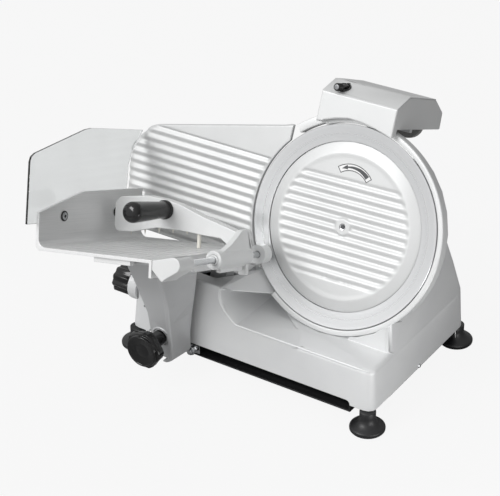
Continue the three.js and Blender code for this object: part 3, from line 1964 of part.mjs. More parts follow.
piece(
  "cord_gland",
  spun("y", glandProfile, [gland.x, base.rear, up(gland.rise)], 12),
  finishes.rubber,
  machine,
);

// The machine stands on its feet, centred on its own outline
machine.updateMatrixWorld(true);
const outline = new THREE.Box3().setFromObject(machine);
const middle = outline.getCenter(new THREE.Vector3());
machine.position.set(-middle.x, -middle.y, -outline.min.z);

export default machine;
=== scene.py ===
import json
import math

import bmesh
import bpy
from mathutils import Matrix, Vector

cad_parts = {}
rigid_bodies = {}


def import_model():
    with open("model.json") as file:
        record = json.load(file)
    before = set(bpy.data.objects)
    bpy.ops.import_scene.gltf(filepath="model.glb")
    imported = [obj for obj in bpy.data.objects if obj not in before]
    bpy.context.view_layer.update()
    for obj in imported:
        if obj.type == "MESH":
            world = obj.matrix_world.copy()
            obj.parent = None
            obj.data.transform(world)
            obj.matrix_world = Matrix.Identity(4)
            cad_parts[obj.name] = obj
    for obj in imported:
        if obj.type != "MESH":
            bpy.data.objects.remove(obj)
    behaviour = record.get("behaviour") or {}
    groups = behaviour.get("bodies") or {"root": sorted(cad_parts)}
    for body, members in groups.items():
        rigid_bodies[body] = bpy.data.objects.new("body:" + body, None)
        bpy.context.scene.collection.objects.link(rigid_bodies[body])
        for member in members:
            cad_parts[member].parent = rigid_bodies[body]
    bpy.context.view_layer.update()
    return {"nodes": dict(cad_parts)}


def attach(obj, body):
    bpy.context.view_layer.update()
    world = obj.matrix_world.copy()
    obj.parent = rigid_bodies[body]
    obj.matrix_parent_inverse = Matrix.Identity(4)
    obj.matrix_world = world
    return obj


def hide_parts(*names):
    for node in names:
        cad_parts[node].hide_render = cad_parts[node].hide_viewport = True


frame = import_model()
print("frame loaded,", len(frame["nodes"]), "nodes")

# Places are in millimetres in one of four frames, which share the blade's centre as the part's source has them:
# base (x right, y back, z up), head (leans back with the blade), tray (the head rolled) and rod (the pusher's rod).
mm = 0.001
machine = {
    "bladeCentre": (97.8129, 35.0253, 203.0),  # in the frame of the part
    "bladeTilt": 22.25,
    "trayRoll": 10.5,
    "rod": (-97.7, 0, -40.2),
}
baseFrame = Matrix.Translation(Vector(machine["bladeCentre"]) * mm) @ Matrix.Scale(mm, 4)
headFrame = baseFrame @ Matrix.Rotation(-math.radians(machine["bladeTilt"]), 4, "X")
trayFrame = headFrame @ Matrix.Rotation(-math.radians(machine["trayRoll"]), 4, "Y")
rodFrame = trayFrame @ Matrix.Translation(machine["rod"])


# Nodes and colours
def linear(code):
    shares = [int(code[i : i + 2], 16) / 255 for i in (1, 3, 5)]
    return [c / 12.92 if c <= 0.04045 else ((c + 0.055) / 1.055) ** 2.4 for c in shares] + [1]


def addNode(tree, kind, inputs=None, **settings):
    node = tree.nodes.new(kind)
    for name, value in settings.items():
        setattr(node, name, value)
    for name, value in (inputs or {}).items():
        if isinstance(value, bpy.types.Node):
            value = value.outputs[0]
        if isinstance(value, bpy.types.NodeSocket):
            tree.links.new(value, node.inputs[name])
        else:
            node.inputs[name].default_value = value
    return node


def newMaterial(name, shader):
    material = bpy.data.materials.new(name)
    material.use_nodes = True
    tree = material.node_tree
    tree.nodes.clear()
    surface = addNode(tree, "ShaderNodeBsdfPrincipled", shader)
    addNode(tree, "ShaderNodeOutputMaterial", {"Surface": surface})
    return material, tree, surface


def pointIn(tree, place):
    # Object coordinates turned into millimetres in a frame of the machine
    turn = place.inverted()
    point = addNode(tree, "ShaderNodeTexCoord").outputs["Object"]
    values = {"Location": turn.to_translation(), "Rotation": turn.to_euler(), "Scale": turn.to_scale()}
    return addNode(tree, "ShaderNodeMapping", {"Vector": point, **values})


# where a pattern's two tones lie, how far it moves the roughness, and its relief's strength
spread = {"darkAt": 0.25, "lightAt": 0.75, "smoother": 0.05, "rougher": 0.06, "bump": 0.5}


def dress(tree, surface, pattern, tone, dark, light, rough, relief):
    # a pattern gives small changes of roughness and a relief in millimetres, a slower tone gives the colour
    ramp = addNode(tree, "ShaderNodeValToRGB", {"Fac": tone})
    for i, (position, colour) in enumerate(((spread["darkAt"], dark), (spread["lightAt"], light))):
        ramp.color_ramp.elements[i].position = position
        ramp.color_ramp.elements[i].color = linear(colour)
    reach = {"To Min": rough - spread["smoother"], "To Max": rough + spread["rougher"]}
    sheen = addNode(tree, "ShaderNodeMapRange", {"Value": pattern, **reach})
    bump = addNode(tree, "ShaderNodeBump", {"Height": pattern, "Distance": relief * mm, "Strength": spread["bump"]})
    tree.links.new(ramp.outputs["Color"], surface.inputs["Base Color"])
    tree.links.new(sheen.outputs["Result"], surface.inputs["Roughness"])
    tree.links.new(bump.outputs["Normal"], surface.inputs["Normal"])


def castSurface(name, dark, light, rough, metallic, shader=None, grain=0.9, relief=0.12, mottle=60):
    # fine grain of a casting or moulding with a slow change of tone: grain and mottle in millimetres
    material, tree, surface = newMaterial(name, {"Metallic": metallic, **(shader or {})})
    point = pointIn(tree, baseFrame)
    fine = addNode(tree, "ShaderNodeTexNoise", {"Vector": point, "Scale": 1 / grain, "Detail": 3})
    slow = addNode(tree, "ShaderNodeTexNoise", {"Vector": point, "Scale": 1 / mottle, "Detail": 2})
    dress(tree, surface, fine, slow, dark, light, rough, relief)
    return material


def brushedSurface(name, dark, light, rough, metallic, place, pitch=0.8, length=90, relief=0.03):
    # parallel lines left by brushing or drawing: pitch across and length along the y axis, in millimetres
    material, tree, surface = newMaterial(name, {"Metallic": metallic})
    stretch = (1 / pitch, 1 / length, 1 / pitch)
    point = addNode(tree, "ShaderNodeVectorMath", {0: pointIn(tree, place), 1: stretch}, operation="MULTIPLY")
    lines = addNode(tree, "ShaderNodeTexNoise", {"Vector": point, "Scale": 1, "Detail": 4})
    dress(tree, surface, lines, lines, dark, light, rough, relief)
    return material


def turnedSurface(name, dark, light, rough, metallic, place, pitch, relief):
    # rings left by turning and grinding about the frame's y axis: pitch in millimetres
    material, tree, surface = newMaterial(name, {"Metallic": metallic})
    flat = addNode(tree, "ShaderNodeVectorMath", {0: pointIn(tree, place), 1: (1, 0, 1)}, operation="MULTIPLY")
    radius = addNode(tree, "ShaderNodeVectorMath", {0: flat}, operation="LENGTH")
    scale = {"W": radius.outputs["Value"], "Scale": 1 / pitch, "Detail": 3}
    rings = addNode(tree, "ShaderNodeTexNoise", scale, noise_dimensions="1D")
    dress(tree, surface, rings, rings, dark, light, rough, relief)
    return material


# each has its darkest and lightest colour, its roughness and how metallic it is
finishes = {
    # die-cast aluminium under a satin silver lacquer: soft, wide highlights and a very fine grain
    "casting": castSurface("SatinSilverCasting", "#dfe0e1", "#e6e7e7", 0.4, 0.15),
    # the carriage's arm has the greyer lacquer
    "armCasting": castSurface("SatinGreyCasting", "#c0c1c2", "#cacbcc", 0.38, 0.3),
    # the same lacquer over a smoother casting, paler: ring guard, pusher, brackets
    "whiteCasting": castSurface("PaleLacqueredCasting", "#dcdddd", "#e4e5e5", 0.36, 0.15, relief=0.08),
    # the hood's lacquer, a shade darker
    "hoodCasting": castSurface("LacqueredHoodCasting", "#d8d9d9", "#dedfdf", 0.38, 0.15, relief=0.08),
    # bead-blasted, clear anodised plate: nearly white, even, a faint bloom
    "cover": castSurface("BlastedAnodisedCover", "#d4d5d5", "#dadbdb", 0.42, 0.2, relief=0.04),
    # the same finish, a little darker
    "gauge": castSurface("BlastedAnodisedGauge", "#cacbcb", "#d1d2d2", 0.42, 0.3, relief=0.04),
    # ground and polished tool steel: mirror-like with faint rings about the centre
    "blade": turnedSurface("GroundBladeSteel", "#c8c9ca", "#cbcccd", 0.28, 0.9, headFrame, pitch=5, relief=0.001),
    # stainless sheet brushed along its travel: fine lines stretch the highlights across them
    "tray": brushedSurface("BrushedStainlessSheet", "#e0e1e1", "#efefef", 0.34, 0.3, trayFrame),
    # drawn and machined bar
    "steel": brushedSurface("DrawnSteelBar", "#a5a7a9", "#babcbe", 0.26, 1, baseFrame, pitch=0.5, length=40),
    # phosphated steel, dark grey with a dull highlight
    "darkSteel": castSurface("PhosphatedSteel", "#77787a", "#858688", 0.4, 0.5, relief=0.02),
    # plated bar: a near mirror with sharp highlights
    "chrome": brushedSurface("PolishedChrome", "#c8cacc", "#dfe0e1", 0.13, 1, baseFrame, relief=0.01),
    # moulded, polished nylon: deep black with clear highlights
    "blackPlastic": castSurface(
        "GlossBlackNylon", "#070708", "#0c0c0d", 0.16, 0, {"Specular IOR Level": 0.5}, relief=0.01
    ),
    # moulded rubber: black, a wider and duller highlight
    "rubber": castSurface("MouldedBlackRubber", "#111112", "#19191b", 0.42, 0, relief=0.04),
    # acetal and nylon pieces: warm white, slightly waxy
    "nylon": castSurface("IvoryNylon", "#e4e1d8", "#ece9e0", 0.42, 0, relief=0.03),
    # painted sheet steel; the same black also draws painted shade in the guard bolts' sockets
    "blackSheetAndPaintedShade": castSurface("BlackPaintedSheet", "#101011", "#171719", 0.42, 0.1, relief=0.04),
    # bonded grit: dull grey with dark and light grains, drawn at 1.2 mm so that they show
    "stone": castSurface("BondedGrindingStone", "#838281", "#9c9a98", 0.85, 0, grain=0.4, relief=0.25, mottle=1.2),
    # moulded switch caps: saturated, a clear highlight
    "green": castSurface("GreenSwitchPlastic", "#1f7a3c", "#2b9450", 0.3, 0, relief=0.02),
    "red": castSurface("RedSwitchPlastic", "#a32320", "#bd302b", 0.3, 0, relief=0.02),
    # printing ink on the cover, and the pale ground under it; the same dark ink also draws painted shade on the clamp
    # screw
    "ink": castSurface("DarkPrintInk", "#454648", "#505254", 0.5, 0, relief=0.005),
    "printGround": castSurface("PalePrintGround", "#eeeeee", "#f4f4f4", 0.5, 0, relief=0.005),
    # cast acrylic sheet: clear with a slight grey cast, dark at its polished edges
    "acrylic": castSurface(
        "ClearAcrylicSheet", "#e0e2e2", "#e6e8e8", 0.07, 0, {"IOR": 1.49, "Transmission Weight": 1}, relief=0.002
    ),
}

finishOf = {
    "casting": ["base_housing", "sharpener_frame", "sharpener_post", "dial_collar"],
    "armCasting": ["carriage_arm"],
    "whiteCasting": ["rod_bracket_front", "rod_bracket_rear", "pusher", "pusher_bush", "ring_guard"],
    "hoodCasting": ["sharpener_hood"],
    "cover": ["blade_cover"],
    "blade": ["blade"],
    "gauge": ["gauge_plate", "gauge_carrier"],
    "tray": ["tray"],
    "steel": ["slide_rod", "slider_block", "guide_bar", "gauge_rod", "dial_shaft", "blade_shaft", "bearing_front"]
    + ["bearing_rear", "blade_pulley", "motor_pulley", "motor_body", "grind_spindle", "deburr_spindle", "lock_stud"],
    "chrome": ["guard_bolt_front", "guard_bolt_rear", "guide_rod", "tie_rod", "guide_shoe"],
    "blackPlastic": ["lock_knob", "thickness_dial", "pusher_handle", "release_knob", "switch_panel", "sharpener_pin"],
    "rubber": ["foot_left_front", "foot_left_rear", "foot_right_front", "foot_right_rear", "drive_belt", "cord_gland"],
    "nylon": ["roller", "rest_peg", "pusher_spikes"],
    "blackSheetAndPaintedShade": ["bottom_plate", "rod_channel", "rod_cap_left", "rod_cap_right"],
    "stone": ["grinding_stone", "deburring_stone"],
    "green": ["on_button"],
    "red": ["off_button"],
    "acrylic": ["acrylic_guard"],
}
for finish, names in finishOf.items():
    for name in names:
        slots = frame["nodes"][name].data.materials
        slots.clear()
        slots.append(finishes[finish])
print("finishes given")


# Making pieces
def held(name, data):
    holder = bpy.data.objects.new(name, data)
    bpy.context.scene.collection.objects.link(holder)
    return holder


def heldShape(name, shape):
    mesh = bpy.data.meshes.new(name)
    shape.to_mesh(mesh)
    shape.free()
    return held(name, mesh)


def finished(piece, finish, smooth, bevel, segments):
    piece.data.materials.clear()
    piece.data.materials.append(finishes[finish])
    piece.data.shade_smooth()
    piece.data.set_sharp_from_angle(angle=math.radians(smooth))
    if bevel:
        edges = piece.modifiers.new("RoundedEdges", "BEVEL")
        edges.width = bevel * mm
        edges.segments = segments
        edges.limit_method = "ANGLE"
        edges.angle_limit = math.radians(smooth)
        edges.use_clamp_overlap = False
        edges.harden_normals = True
    return piece


def seat(piece, node, replaces=True):
    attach(piece, frame["nodes"][node].parent.name.split("body:")[-1])
    if replaces:
        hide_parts(node)


# distances in millimetres within which points are one, and the turn in degrees below which faces are one
merge = {"node": 0.02, "shape": 0.004, "sliver": 0.002, "axis": 0.001, "turn": 0.5}


def refined(node, finish, bevel=0.7, smooth=32, segments=2, reshape=None):
    # a copy of a node with its facets merged, its hard edges rounded and its curves shaded smooth
    mesh = frame["nodes"][node].data.copy()
    shape = bmesh.new()
    shape.from_mesh(mesh)
    bmesh.ops.remove_doubles(shape, verts=shape.verts, dist=merge["node"] * mm)
    if reshape:
        shape = reshape(shape)
        bmesh.ops.remove_doubles(shape, verts=shape.verts, dist=merge["node"] * mm)
    turn = math.radians(merge["turn"])
    bmesh.ops.dissolve_limit(shape, angle_limit=turn, verts=shape.verts, edges=shape.edges, delimit={"NORMAL"})
    shape.to_mesh(mesh)
    shape.free()
    seat(finished(held(node + "_skin", mesh), finish, smooth, bevel, segments), node)


def placed(shape, place):
    bmesh.ops.transform(shape, matrix=place, verts=shape.verts)
    return shape


def settled(name, shape, place, node, finish, smooth=32, bevel=0, segments=2, replaces=True):
    # a shape in millimetres of a frame takes its place on its node's body
    placed(shape, place)
    bmesh.ops.remove_doubles(shape, verts=shape.verts, dist=merge["shape"] * mm)
    bmesh.ops.dissolve_degenerate(shape, dist=merge["sliver"] * mm, edges=shape.edges)
    bmesh.ops.recalc_face_normals(shape, faces=shape.faces)
    seat(finished(heldShape(name, shape), finish, smooth, bevel, segments), node, replaces)


def joinRows(shape, rows, capped=True):
    # quads between closed rows of points, and a face at each end
    for near, far in zip(rows, rows[1:]):
        count = len(near)
        for i in range(count):
            k = (i + 1) % count
            shape.faces.new((near[i], near[k], far[k], far[i]))
    if capped:
        shape.faces.new(rows[0])
        shape.faces.new(rows[-1][::-1])


def alongAxis(axis, along, a, b):
    # a point from its place along an axis and its two other coordinates in order
    return {"x": (along, a, b), "y": (a, along, b), "z": (a, b, along)}[axis]


def circle(radius, steps):
    angles = [2 * math.pi * i / steps for i in range(steps)]
    return [(radius * math.cos(angle), radius * math.sin(angle)) for angle in angles]


def lathe(profile, steps, centre=(0, 0, 0), axis="y"):
    # points of radius and place along the axis, turned about it; a closed wall repeats its first point
    shape = bmesh.new()
    rows = []
    for radius, along in profile:
        offsets = [Vector(alongAxis(axis, along, a, b)) for a, b in circle(radius, steps)]
        rows.append([shape.verts.new(Vector(centre) + offset) for offset in offsets])
    joinRows(shape, rows, capped=False)
    return shape


def softened(points, steps):
    # a smooth curve through the points of a profile
    curve = []
    for i in range(len(points) - 1):
        p = [Vector(points[max(0, min(len(points) - 1, i + k))]) for k in (-1, 0, 1, 2)]
        slope, bend = p[2] - p[0], 2 * p[0] - 5 * p[1] + 4 * p[2] - p[3]
        for j in range(steps):
            t = j / steps
            curve.append(0.5 * (2 * p[1] + slope * t + bend * t * t + (3 * p[1] - p[0] - 3 * p[2] + p[3]) * t * t * t))
    curve.append(Vector(points[-1]))
    return [tuple(point) for point in curve]


def smoothStep(value):
    t = max(0.0, min(1.0, value))
    return t * t * (3 - 2 * t)


# Geometry Nodes trees
def newTree(name, inputs):
    tree = bpy.data.node_groups.new(name, "GeometryNodeTree")
    tree.interface.new_socket("Geometry", in_out="INPUT", socket_type="NodeSocketGeometry")
    for label, kind in inputs.items():
        tree.interface.new_socket(label, in_out="INPUT", socket_type="NodeSocket" + kind)
    tree.interface.new_socket("Geometry", in_out="OUTPUT", socket_type="NodeSocketGeometry")
    return tree, addNode(tree, "NodeGroupInput").outputs


def closeTree(tree, geometry, finish):
    whole = addNode(tree, "GeometryNodeRealizeInstances", {"Geometry": geometry})
    covered = addNode(tree, "GeometryNodeSetMaterial", {"Geometry": whole, "Material": finish})
    addNode(tree, "NodeGroupOutput", {"Geometry": covered})


def plainShape(holder, layers):
    # what a holder's modifiers make of it, as a shape
    graph = bpy.context.evaluated_depsgraph_get()
    made = holder.evaluated_get(graph)
    plain = bpy.data.meshes.new_from_object(made, preserve_all_data_layers=layers, depsgraph=graph)
    bpy.data.objects.remove(holder)
    result = bmesh.new()
    result.from_mesh(plain)
    return result


def grown(shape, tree, values):
    # runs a tree on a shape and gives the plain result back
    holder = heldShape(tree.name, shape)
    modifier = holder.modifiers.new(tree.name, "NODES")
    modifier.node_group = tree
    for socket in tree.interface.items_tree:
        if socket.item_type == "SOCKET" and socket.in_out == "INPUT" and socket.name in values:
            modifier[socket.identifier] = values[socket.name]
    return plainShape(holder, True)


def makeRibTree():
    # soft parallel ribs pressed into a face: "ribShare" says how far each point follows them
    sizes = ("Pitch", "Depth", "First Rib", "Last Rib", "Plain Depth", "Softness")
    tree, given = newTree("PressedRibs", {**dict.fromkeys(sizes, "Float"), "Finish": "Material"})
    place = addNode(tree, "GeometryNodeInputPosition")
    height = addNode(tree, "ShaderNodeSeparateXYZ", {0: place}).outputs["Z"]
    share = addNode(tree, "GeometryNodeInputNamedAttribute", {"Name": "ribShare"}, data_type="FLOAT")
    phase = height
    for way, by in (("SUBTRACT", given["First Rib"]), ("DIVIDE", given["Pitch"]), ("MULTIPLY", 2 * math.pi)):
        phase = addNode(tree, "ShaderNodeMath", {0: phase, 1: by}, operation=way)
    crest = addNode(tree, "ShaderNodeMath", {0: phase}, operation="COSINE")
    reach = {"From Min": 1.0, "From Max": -1.0, "To Min": 0.0, "To Max": given["Depth"]}
    wave = addNode(tree, "ShaderNodeMapRange", {"Value": crest, **reach})
    # half a pitch beyond the outer ribs they fade into the plain depth
    half = addNode(tree, "ShaderNodeMath", {0: given["Pitch"], 1: 0.5}, operation="MULTIPLY")
    fades = []
    for rib, way in (("First Rib", "SUBTRACT"), ("Last Rib", "ADD")):
        edge = addNode(tree, "ShaderNodeMath", {0: given[rib], 1: half}, operation=way)
        plain = addNode(tree, "ShaderNodeMath", {0: edge, 1: given["Softness"]}, operation=way)
        reach = {"Value": height, "From Min": plain, "From Max": edge}
        fades.append(addNode(tree, "ShaderNodeMapRange", reach, interpolation_type="SMOOTHSTEP"))
    window = addNode(tree, "ShaderNodeMath", {0: fades[0], 1: fades[1]}, operation="MULTIPLY")
    depths = {0: window, 2: given["Plain Depth"], 3: wave}
    depth = addNode(tree, "ShaderNodeMix", depths, data_type="FLOAT")
    pressed = addNode(tree, "ShaderNodeMath", {0: depth, 1: share}, operation="MULTIPLY")
    offset = addNode(tree, "ShaderNodeCombineXYZ", {"Y": pressed})
    moved = addNode(tree, "GeometryNodeSetPosition", {"Geometry": given["Geometry"], "Offset": offset})
    closeTree(tree, moved, given["Finish"])
    return tree


ribTree = makeRibTree()


def makeRepeatTree():
    # copies of a part in a row, in a ring, or both: each copy steps and turns on from the one before
    inputs = {"Count": "Int", "Start": "Vector", "Step": "Vector", "Turn": "Vector", "Finish": "Material"}
    tree, given = newTree("RepeatedPart", inputs)
    line = {"Count": given["Count"], "Start Location": given["Start"], "Offset": given["Step"]}
    row = addNode(tree, "GeometryNodeMeshLine", line)
    number = addNode(tree, "GeometryNodeInputIndex")
    turn = addNode(tree, "ShaderNodeVectorMath", {0: given["Turn"], "Scale": number}, operation="SCALE")
    copy = {"Points": row, "Instance": given["Geometry"], "Rotation": turn}
    closeTree(tree, addNode(tree, "GeometryNodeInstanceOnPoints", copy), given["Finish"])
    return tree


repeatTree = makeRepeatTree()


def repeated(part, finish, count, start=(0, 0, 0), step=(0, 0, 0), turn=(0, 0, 0)):
    values = {"Count": count, "Start": start, "Step": step, "Turn": turn, "Finish": finishes[finish]}
    return grown(part, repeatTree, values)


def prism(outline, axis, start, end):
    # a closed outline drawn along an axis; outline points are the two other coordinates in order
    shape = bmesh.new()
    joinRows(shape, [[shape.verts.new(alongAxis(axis, along, a, b)) for a, b in outline] for along in (start, end)])
    bmesh.ops.recalc_face_normals(shape, faces=shape.faces)
    return shape


def carved(first, second):
    # one shape less another
    holder, cutter = heldShape("carving", first), heldShape("carving", second)
    tool = holder.modifiers.new("Carving", "BOOLEAN")
    tool.operation = "DIFFERENCE"
    tool.solver = "EXACT"
    tool.object = cutter
    result = plainShape(holder, False)
    bpy.data.objects.remove(cutter)
    return result


def swept(shape, sectionAt, angles, steps, centre=(0, 0, 0)):
    # a bar along an arc about the y axis: its section holds points of radius and place along the axis
    rows = []
    for i in range(steps + 1):
        turn = math.radians(angles[0] + (angles[1] - angles[0]) * i / steps)
        offsets = [Vector((r * math.cos(turn), y, r * math.sin(turn))) for r, y in sectionAt(i / steps)]
        rows.append([shape.verts.new(Vector(centre) + offset) for offset in offsets])
    joinRows(shape, rows)
    return shape


# Blade cover: a plate with a pale rim, a soft-edged recess and pressed ribs
coverPlate = {
    "radius": 103.3,
    "thickness": 4.5,
    "rimDepth": 3.3,  # the rim slopes back towards its edge
    "edge": 0.2,
    "bore": 4.35,
    "boss": 9,
    "bossEdge": 3,
    "recess": 90,
    "recessEdge": 7,
    # radii of its rings of points: about the boss, then in steps, then on the rim
    "bossRings": [6.5, 8, 9, 10, 11, 12.2, 13.6],
    "ringStep": 1.55,
    "ringsTo": 89,
    "rimRings": [91, 94, 100.3],
    "steps": 300,
    "ribs": {"Pitch": 11.1, "Depth": 2.2, "First Rib": -60.4, "Last Rib": 51.0, "Plain Depth": 0.5, "Softness": 3.0},
    "ribTurn": -1.6,  # degrees about the blade's axis
}


def makeCover():
    cover = coverPlate
    radii = [cover["bore"], *cover["bossRings"]]
    while radii[-1] < cover["ringsTo"]:
        radii.append(radii[-1] + cover["ringStep"])
    slope = cover["rimDepth"] / (cover["radius"] - cover["recess"])
    profile = [(radius, max(0, radius - cover["recess"]) * slope) for radius in radii + cover["rimRings"]]
    profile += [(cover["radius"], cover["rimDepth"] + cover["edge"])]
    profile += [(cover["radius"], cover["thickness"]), (cover["bore"], cover["thickness"])]
    shape = lathe(profile + profile[:1], cover["steps"])
    layer = shape.verts.layers.float.new("ribShare")
    for point in shape.verts:
        radius = math.hypot(point.co.x, point.co.z)
        onFace = point.co.y < cover["thickness"] - cover["edge"]
        inRecess = smoothStep((cover["recess"] - radius) / cover["recessEdge"])
        point[layer] = onFace * inRecess * smoothStep((radius - cover["boss"]) / cover["bossEdge"])
    shape = grown(shape, ribTree, {**cover["ribs"], "Finish": finishes["cover"]})
    placed(shape, Matrix.Rotation(math.radians(cover["ribTurn"]), 4, "Y"))
    settled("CoverPlate", shape, headFrame, "blade_cover", "cover", smooth=40)


makeCover()

# A plain turning arrow printed on the cover
arrow = {
    "centre": (-1.7, 0, 43.1),
    "inner": 25.8,
    "outer": 34.6,
    "from": 40,
    "to": 129,
    "line": 1.0,
    "front": 0.32,
    "thickness": 0.06,
    "inkRise": 0.03,
    "steps": 36,
    # the tail and the head: half the width at both ends, and the angles
    "parts": [((2.9, 0.9), (48, 107), 16), ((2.85, 0.05), (106, 121), 6)],
}


def arcPlate(shape, inner, outer, angles, steps, front):
    # a flat band along an arc: both radii and the angle run from a first to a second value
    rear = front + arrow["thickness"]

    def sectionAt(share):
        near, far = (pair[0] + (pair[1] - pair[0]) * share for pair in (inner, outer))
        return (near, front), (far, front), (far, rear), (near, rear)

    return swept(shape, sectionAt, angles, steps, arrow["centre"])


def makeArrow():
    inner, outer, line, front = (arrow[key] for key in ("inner", "outer", "line", "front"))
    whole, steps = (arrow["from"], arrow["to"]), arrow["steps"]
    ground = arcPlate(bmesh.new(), (inner, inner), (outer, outer), whole, steps, front)
    settled("ArrowGround", ground, headFrame, "blade_cover", "printGround", replaces=False)
    # the frame's arcs and ends, then the arrow's tapering tail and its wedge of a head
    bands = [((low, low), (low + line, low + line), whole, steps) for low in (inner, outer - line)]
    turn = math.degrees(line / outer)
    for start in (whole[0], whole[1] - turn):
        bands.append(((inner + line, inner + line), (outer - line, outer - line), (start, start + turn), 1))
    middle = (inner + outer) / 2
    for halves, angles, count in arrow["parts"]:
        bands.append(([middle - half for half in halves], [middle + half for half in halves], angles, count))
    ink = bmesh.new()
    for band in bands:
        arcPlate(ink, *band, front - arrow["inkRise"])
    settled("ArrowInk", ink, headFrame, "blade_cover", "ink", replaces=False)


makeArrow()

# Blade: a dished disc ground to an edge, finely turned
bladeDisc = {
    "profile": [(14.35, 6), (103.9, 6), (103.9, 2.5), (104.2, 2.2), (124.5, 0.4), (125, 0.9), (118, 3.4)]
    + [(108, 6), (96, 11), (45, 12.3), (14.35, 12.3)],
    "steps": 320,
}
profile = bladeDisc["profile"]
settled("BladeDisc", lathe(profile + profile[:1], bladeDisc["steps"]), headFrame, "blade", "blade", smooth=20)

# Clamping screw in the middle of the cover: a flat head with a ring and a socket; thin dark rings and a dark disc over
# the socket are painted shade in its gaps and its socket
clampScrew = {
    "profile": [(0, 2.6), (2.6, 2.6), (2.7, 0.75), (3.2, 0.5), (4.6, 0.45), (4.8, 0.8), (5.4, 0.8), (5.6, 0.45)]
    + [(6.2, 0.45), (6.5, 0.75), (4, 3), (4, 139), (0, 139)],
    # the painted shade lines' inner and outer radius, and their front
    "lines": {"ScrewOutline": (6.5, 7.1, 0.42), "ScrewRing": (3.9, 4.5, 0.4), "ScrewSocket": (0, 2.4, 0.42)},
    "lineDepth": 0.3,
    "steps": 48,
}
screw = lathe(clampScrew["profile"], clampScrew["steps"])
settled("ClampScrew", screw, headFrame, "tie_rod", "chrome", smooth=30)
# dark rings and a disc in the ink finish: painted shade in the screw's gaps and over its socket
for name, (inner, outer, front) in clampScrew["lines"].items():
    rear = front + clampScrew["lineDepth"]
    line = [(inner, front), (outer, front), (outer, rear), (inner, rear)]
    line = line + line[:1] if inner else line
    settled(name, lathe(line, clampScrew["steps"]), headFrame, "tie_rod", "ink", smooth=30, replaces=False)
print("blade and cover made")

# Ring guard: a rounded bar round the blade, with a wider pad beside the gauge plate
ringGuard = {
    "RingGuardBand": {"inner": 125.8, "outer": 133, "rear": 12.7, "angles": (-125, 114), "steps": 220},
    "RingGuardPad": {"inner": 128, "outer": 139, "rear": 12.5, "angles": (114, 130.7), "steps": 20},
}
guardRound = {"radius": 1.6, "turn": 22.5, "points": 5}


def arcBar(bar):
    # a flat bar along an arc, its two front edges rounded
    radius = guardRound["radius"]
    section = []
    for middle, start in ((bar["inner"] + radius, 180), (bar["outer"] - radius, 270)):
        for k in range(guardRound["points"]):
            angle = math.radians(start + guardRound["turn"] * k)
            section.append((middle + radius * math.cos(angle), radius + radius * math.sin(angle)))
    section += [(bar["outer"], bar["rear"]), (bar["inner"], bar["rear"])]
    return swept(bmesh.new(), lambda share: section, bar["angles"], bar["steps"])


for name, bar in ringGuard.items():
    band = name == "RingGuardBand"
    settled(name, arcBar(bar), headFrame, "ring_guard", "whiteCasting", smooth=40, replaces=band)

# Gauge plate: one face of soft ribs along the food's way, its right edge follows the blade
gaugePlate = {
    "left": [(-80, -323.5), (-28.7, -320), (21.6, -328.6), (55.5, -300), (104, -95)],  # height and left edge
    "cornerReach": 4,
    "bottom": -80,
    "top": 104,
    "rightTop": -95,
    "rightLean": 4.3,  # how much further left its straight right edge is at the bottom
    "arc": 127.5,
    "thickness": 5,
    "edge": 0.8,
    "topEdge": 0.01,
    "roll": 9,
    "rollDepth": 2.6,
    "fade": 5,
    "lowFade": 4,
    # rows of points, columns beside each edge, which close up where it is narrow, and columns between
    "rows": 184,
    "beside": [0, 0.3, 0.8, 1.6, 2.8, 4.2, 5.8, 7.6, 9.6],
    "between": 30,
    "narrow": 40,
    "least": 0.4,
    "ribs": {"Pitch": 11.0, "Depth": 1.6, "First Rib": -71.5, "Last Rib": 49.5, "Plain Depth": 0.0, "Softness": 2.5},
}


def makeGaugePlate():
    g = gaugePlate
    bottom, top = g["bottom"], g["top"]

    def leftAt(height):
        total = 0
        steps = range(-g["cornerReach"], g["cornerReach"] + 1)
        for k in steps:  # averaging rounds the corners of the outline
            h = max(bottom, min(top, height + k))
            for (h0, x0), (h1, x1) in zip(g["left"], g["left"][1:]):
                if h <= h1:
                    total += x0 + (x1 - x0) * (h - h0) / (h1 - h0)
                    break
        return total / len(steps)

    def rightAt(height):
        line = g["rightTop"] - g["rightLean"] * (top - height) / (top - bottom)
        arc = -math.sqrt(max(0, g["arc"] ** 2 - height**2))
        return min(line, arc)

    shape = bmesh.new()
    layer = shape.verts.layers.float.new("ribShare")
    rows = []
    for i in range(g["rows"] + 1):
        height = bottom + (top - bottom) * i / g["rows"]
        left, right = leftAt(height), rightAt(height)
        width = max(g["least"], right - left)
        squeeze = min(1, width / g["narrow"])
        shares = [d * squeeze / width for d in g["beside"]]
        middle = [shares[-1] + (1 - 2 * shares[-1]) * k / g["between"] for k in range(1, g["between"])]
        front, back = [], []
        for share in shares + middle + [1 - share for share in reversed(shares)]:
            x = right - width * (1 - share)
            fromLeft, fromRight = share * width, (1 - share) * width
            edge = min(fromLeft, fromRight, height - bottom, top - height + g["topEdge"])
            y = g["edge"] * (1 - min(1, edge / g["edge"])) ** 2
            y += g["rollDepth"] * (1 - min(1, fromLeft / g["roll"])) ** 2
            point = shape.verts.new((x, y, height))
            point[layer] = smoothStep(fromRight / g["fade"]) * smoothStep((height - bottom) / g["lowFade"])
            front.append(point)
            back.append(shape.verts.new((x, g["thickness"], height)))
        rows.append([*front, *reversed(back)])
    joinRows(shape, rows, capped=False)
    for row in (rows[0], rows[-1]):
        for k in range(len(row) // 2 - 1):
            shape.faces.new((row[k], row[k + 1], row[-2 - k], row[-1 - k]))
    shape = grown(shape, ribTree, {**g["ribs"], "Finish": finishes["gauge"]})
    settled("GaugePlateFace", shape, headFrame, "gauge_plate", "gauge", smooth=40)


makeGaugePlate()
print("gauge plate made")

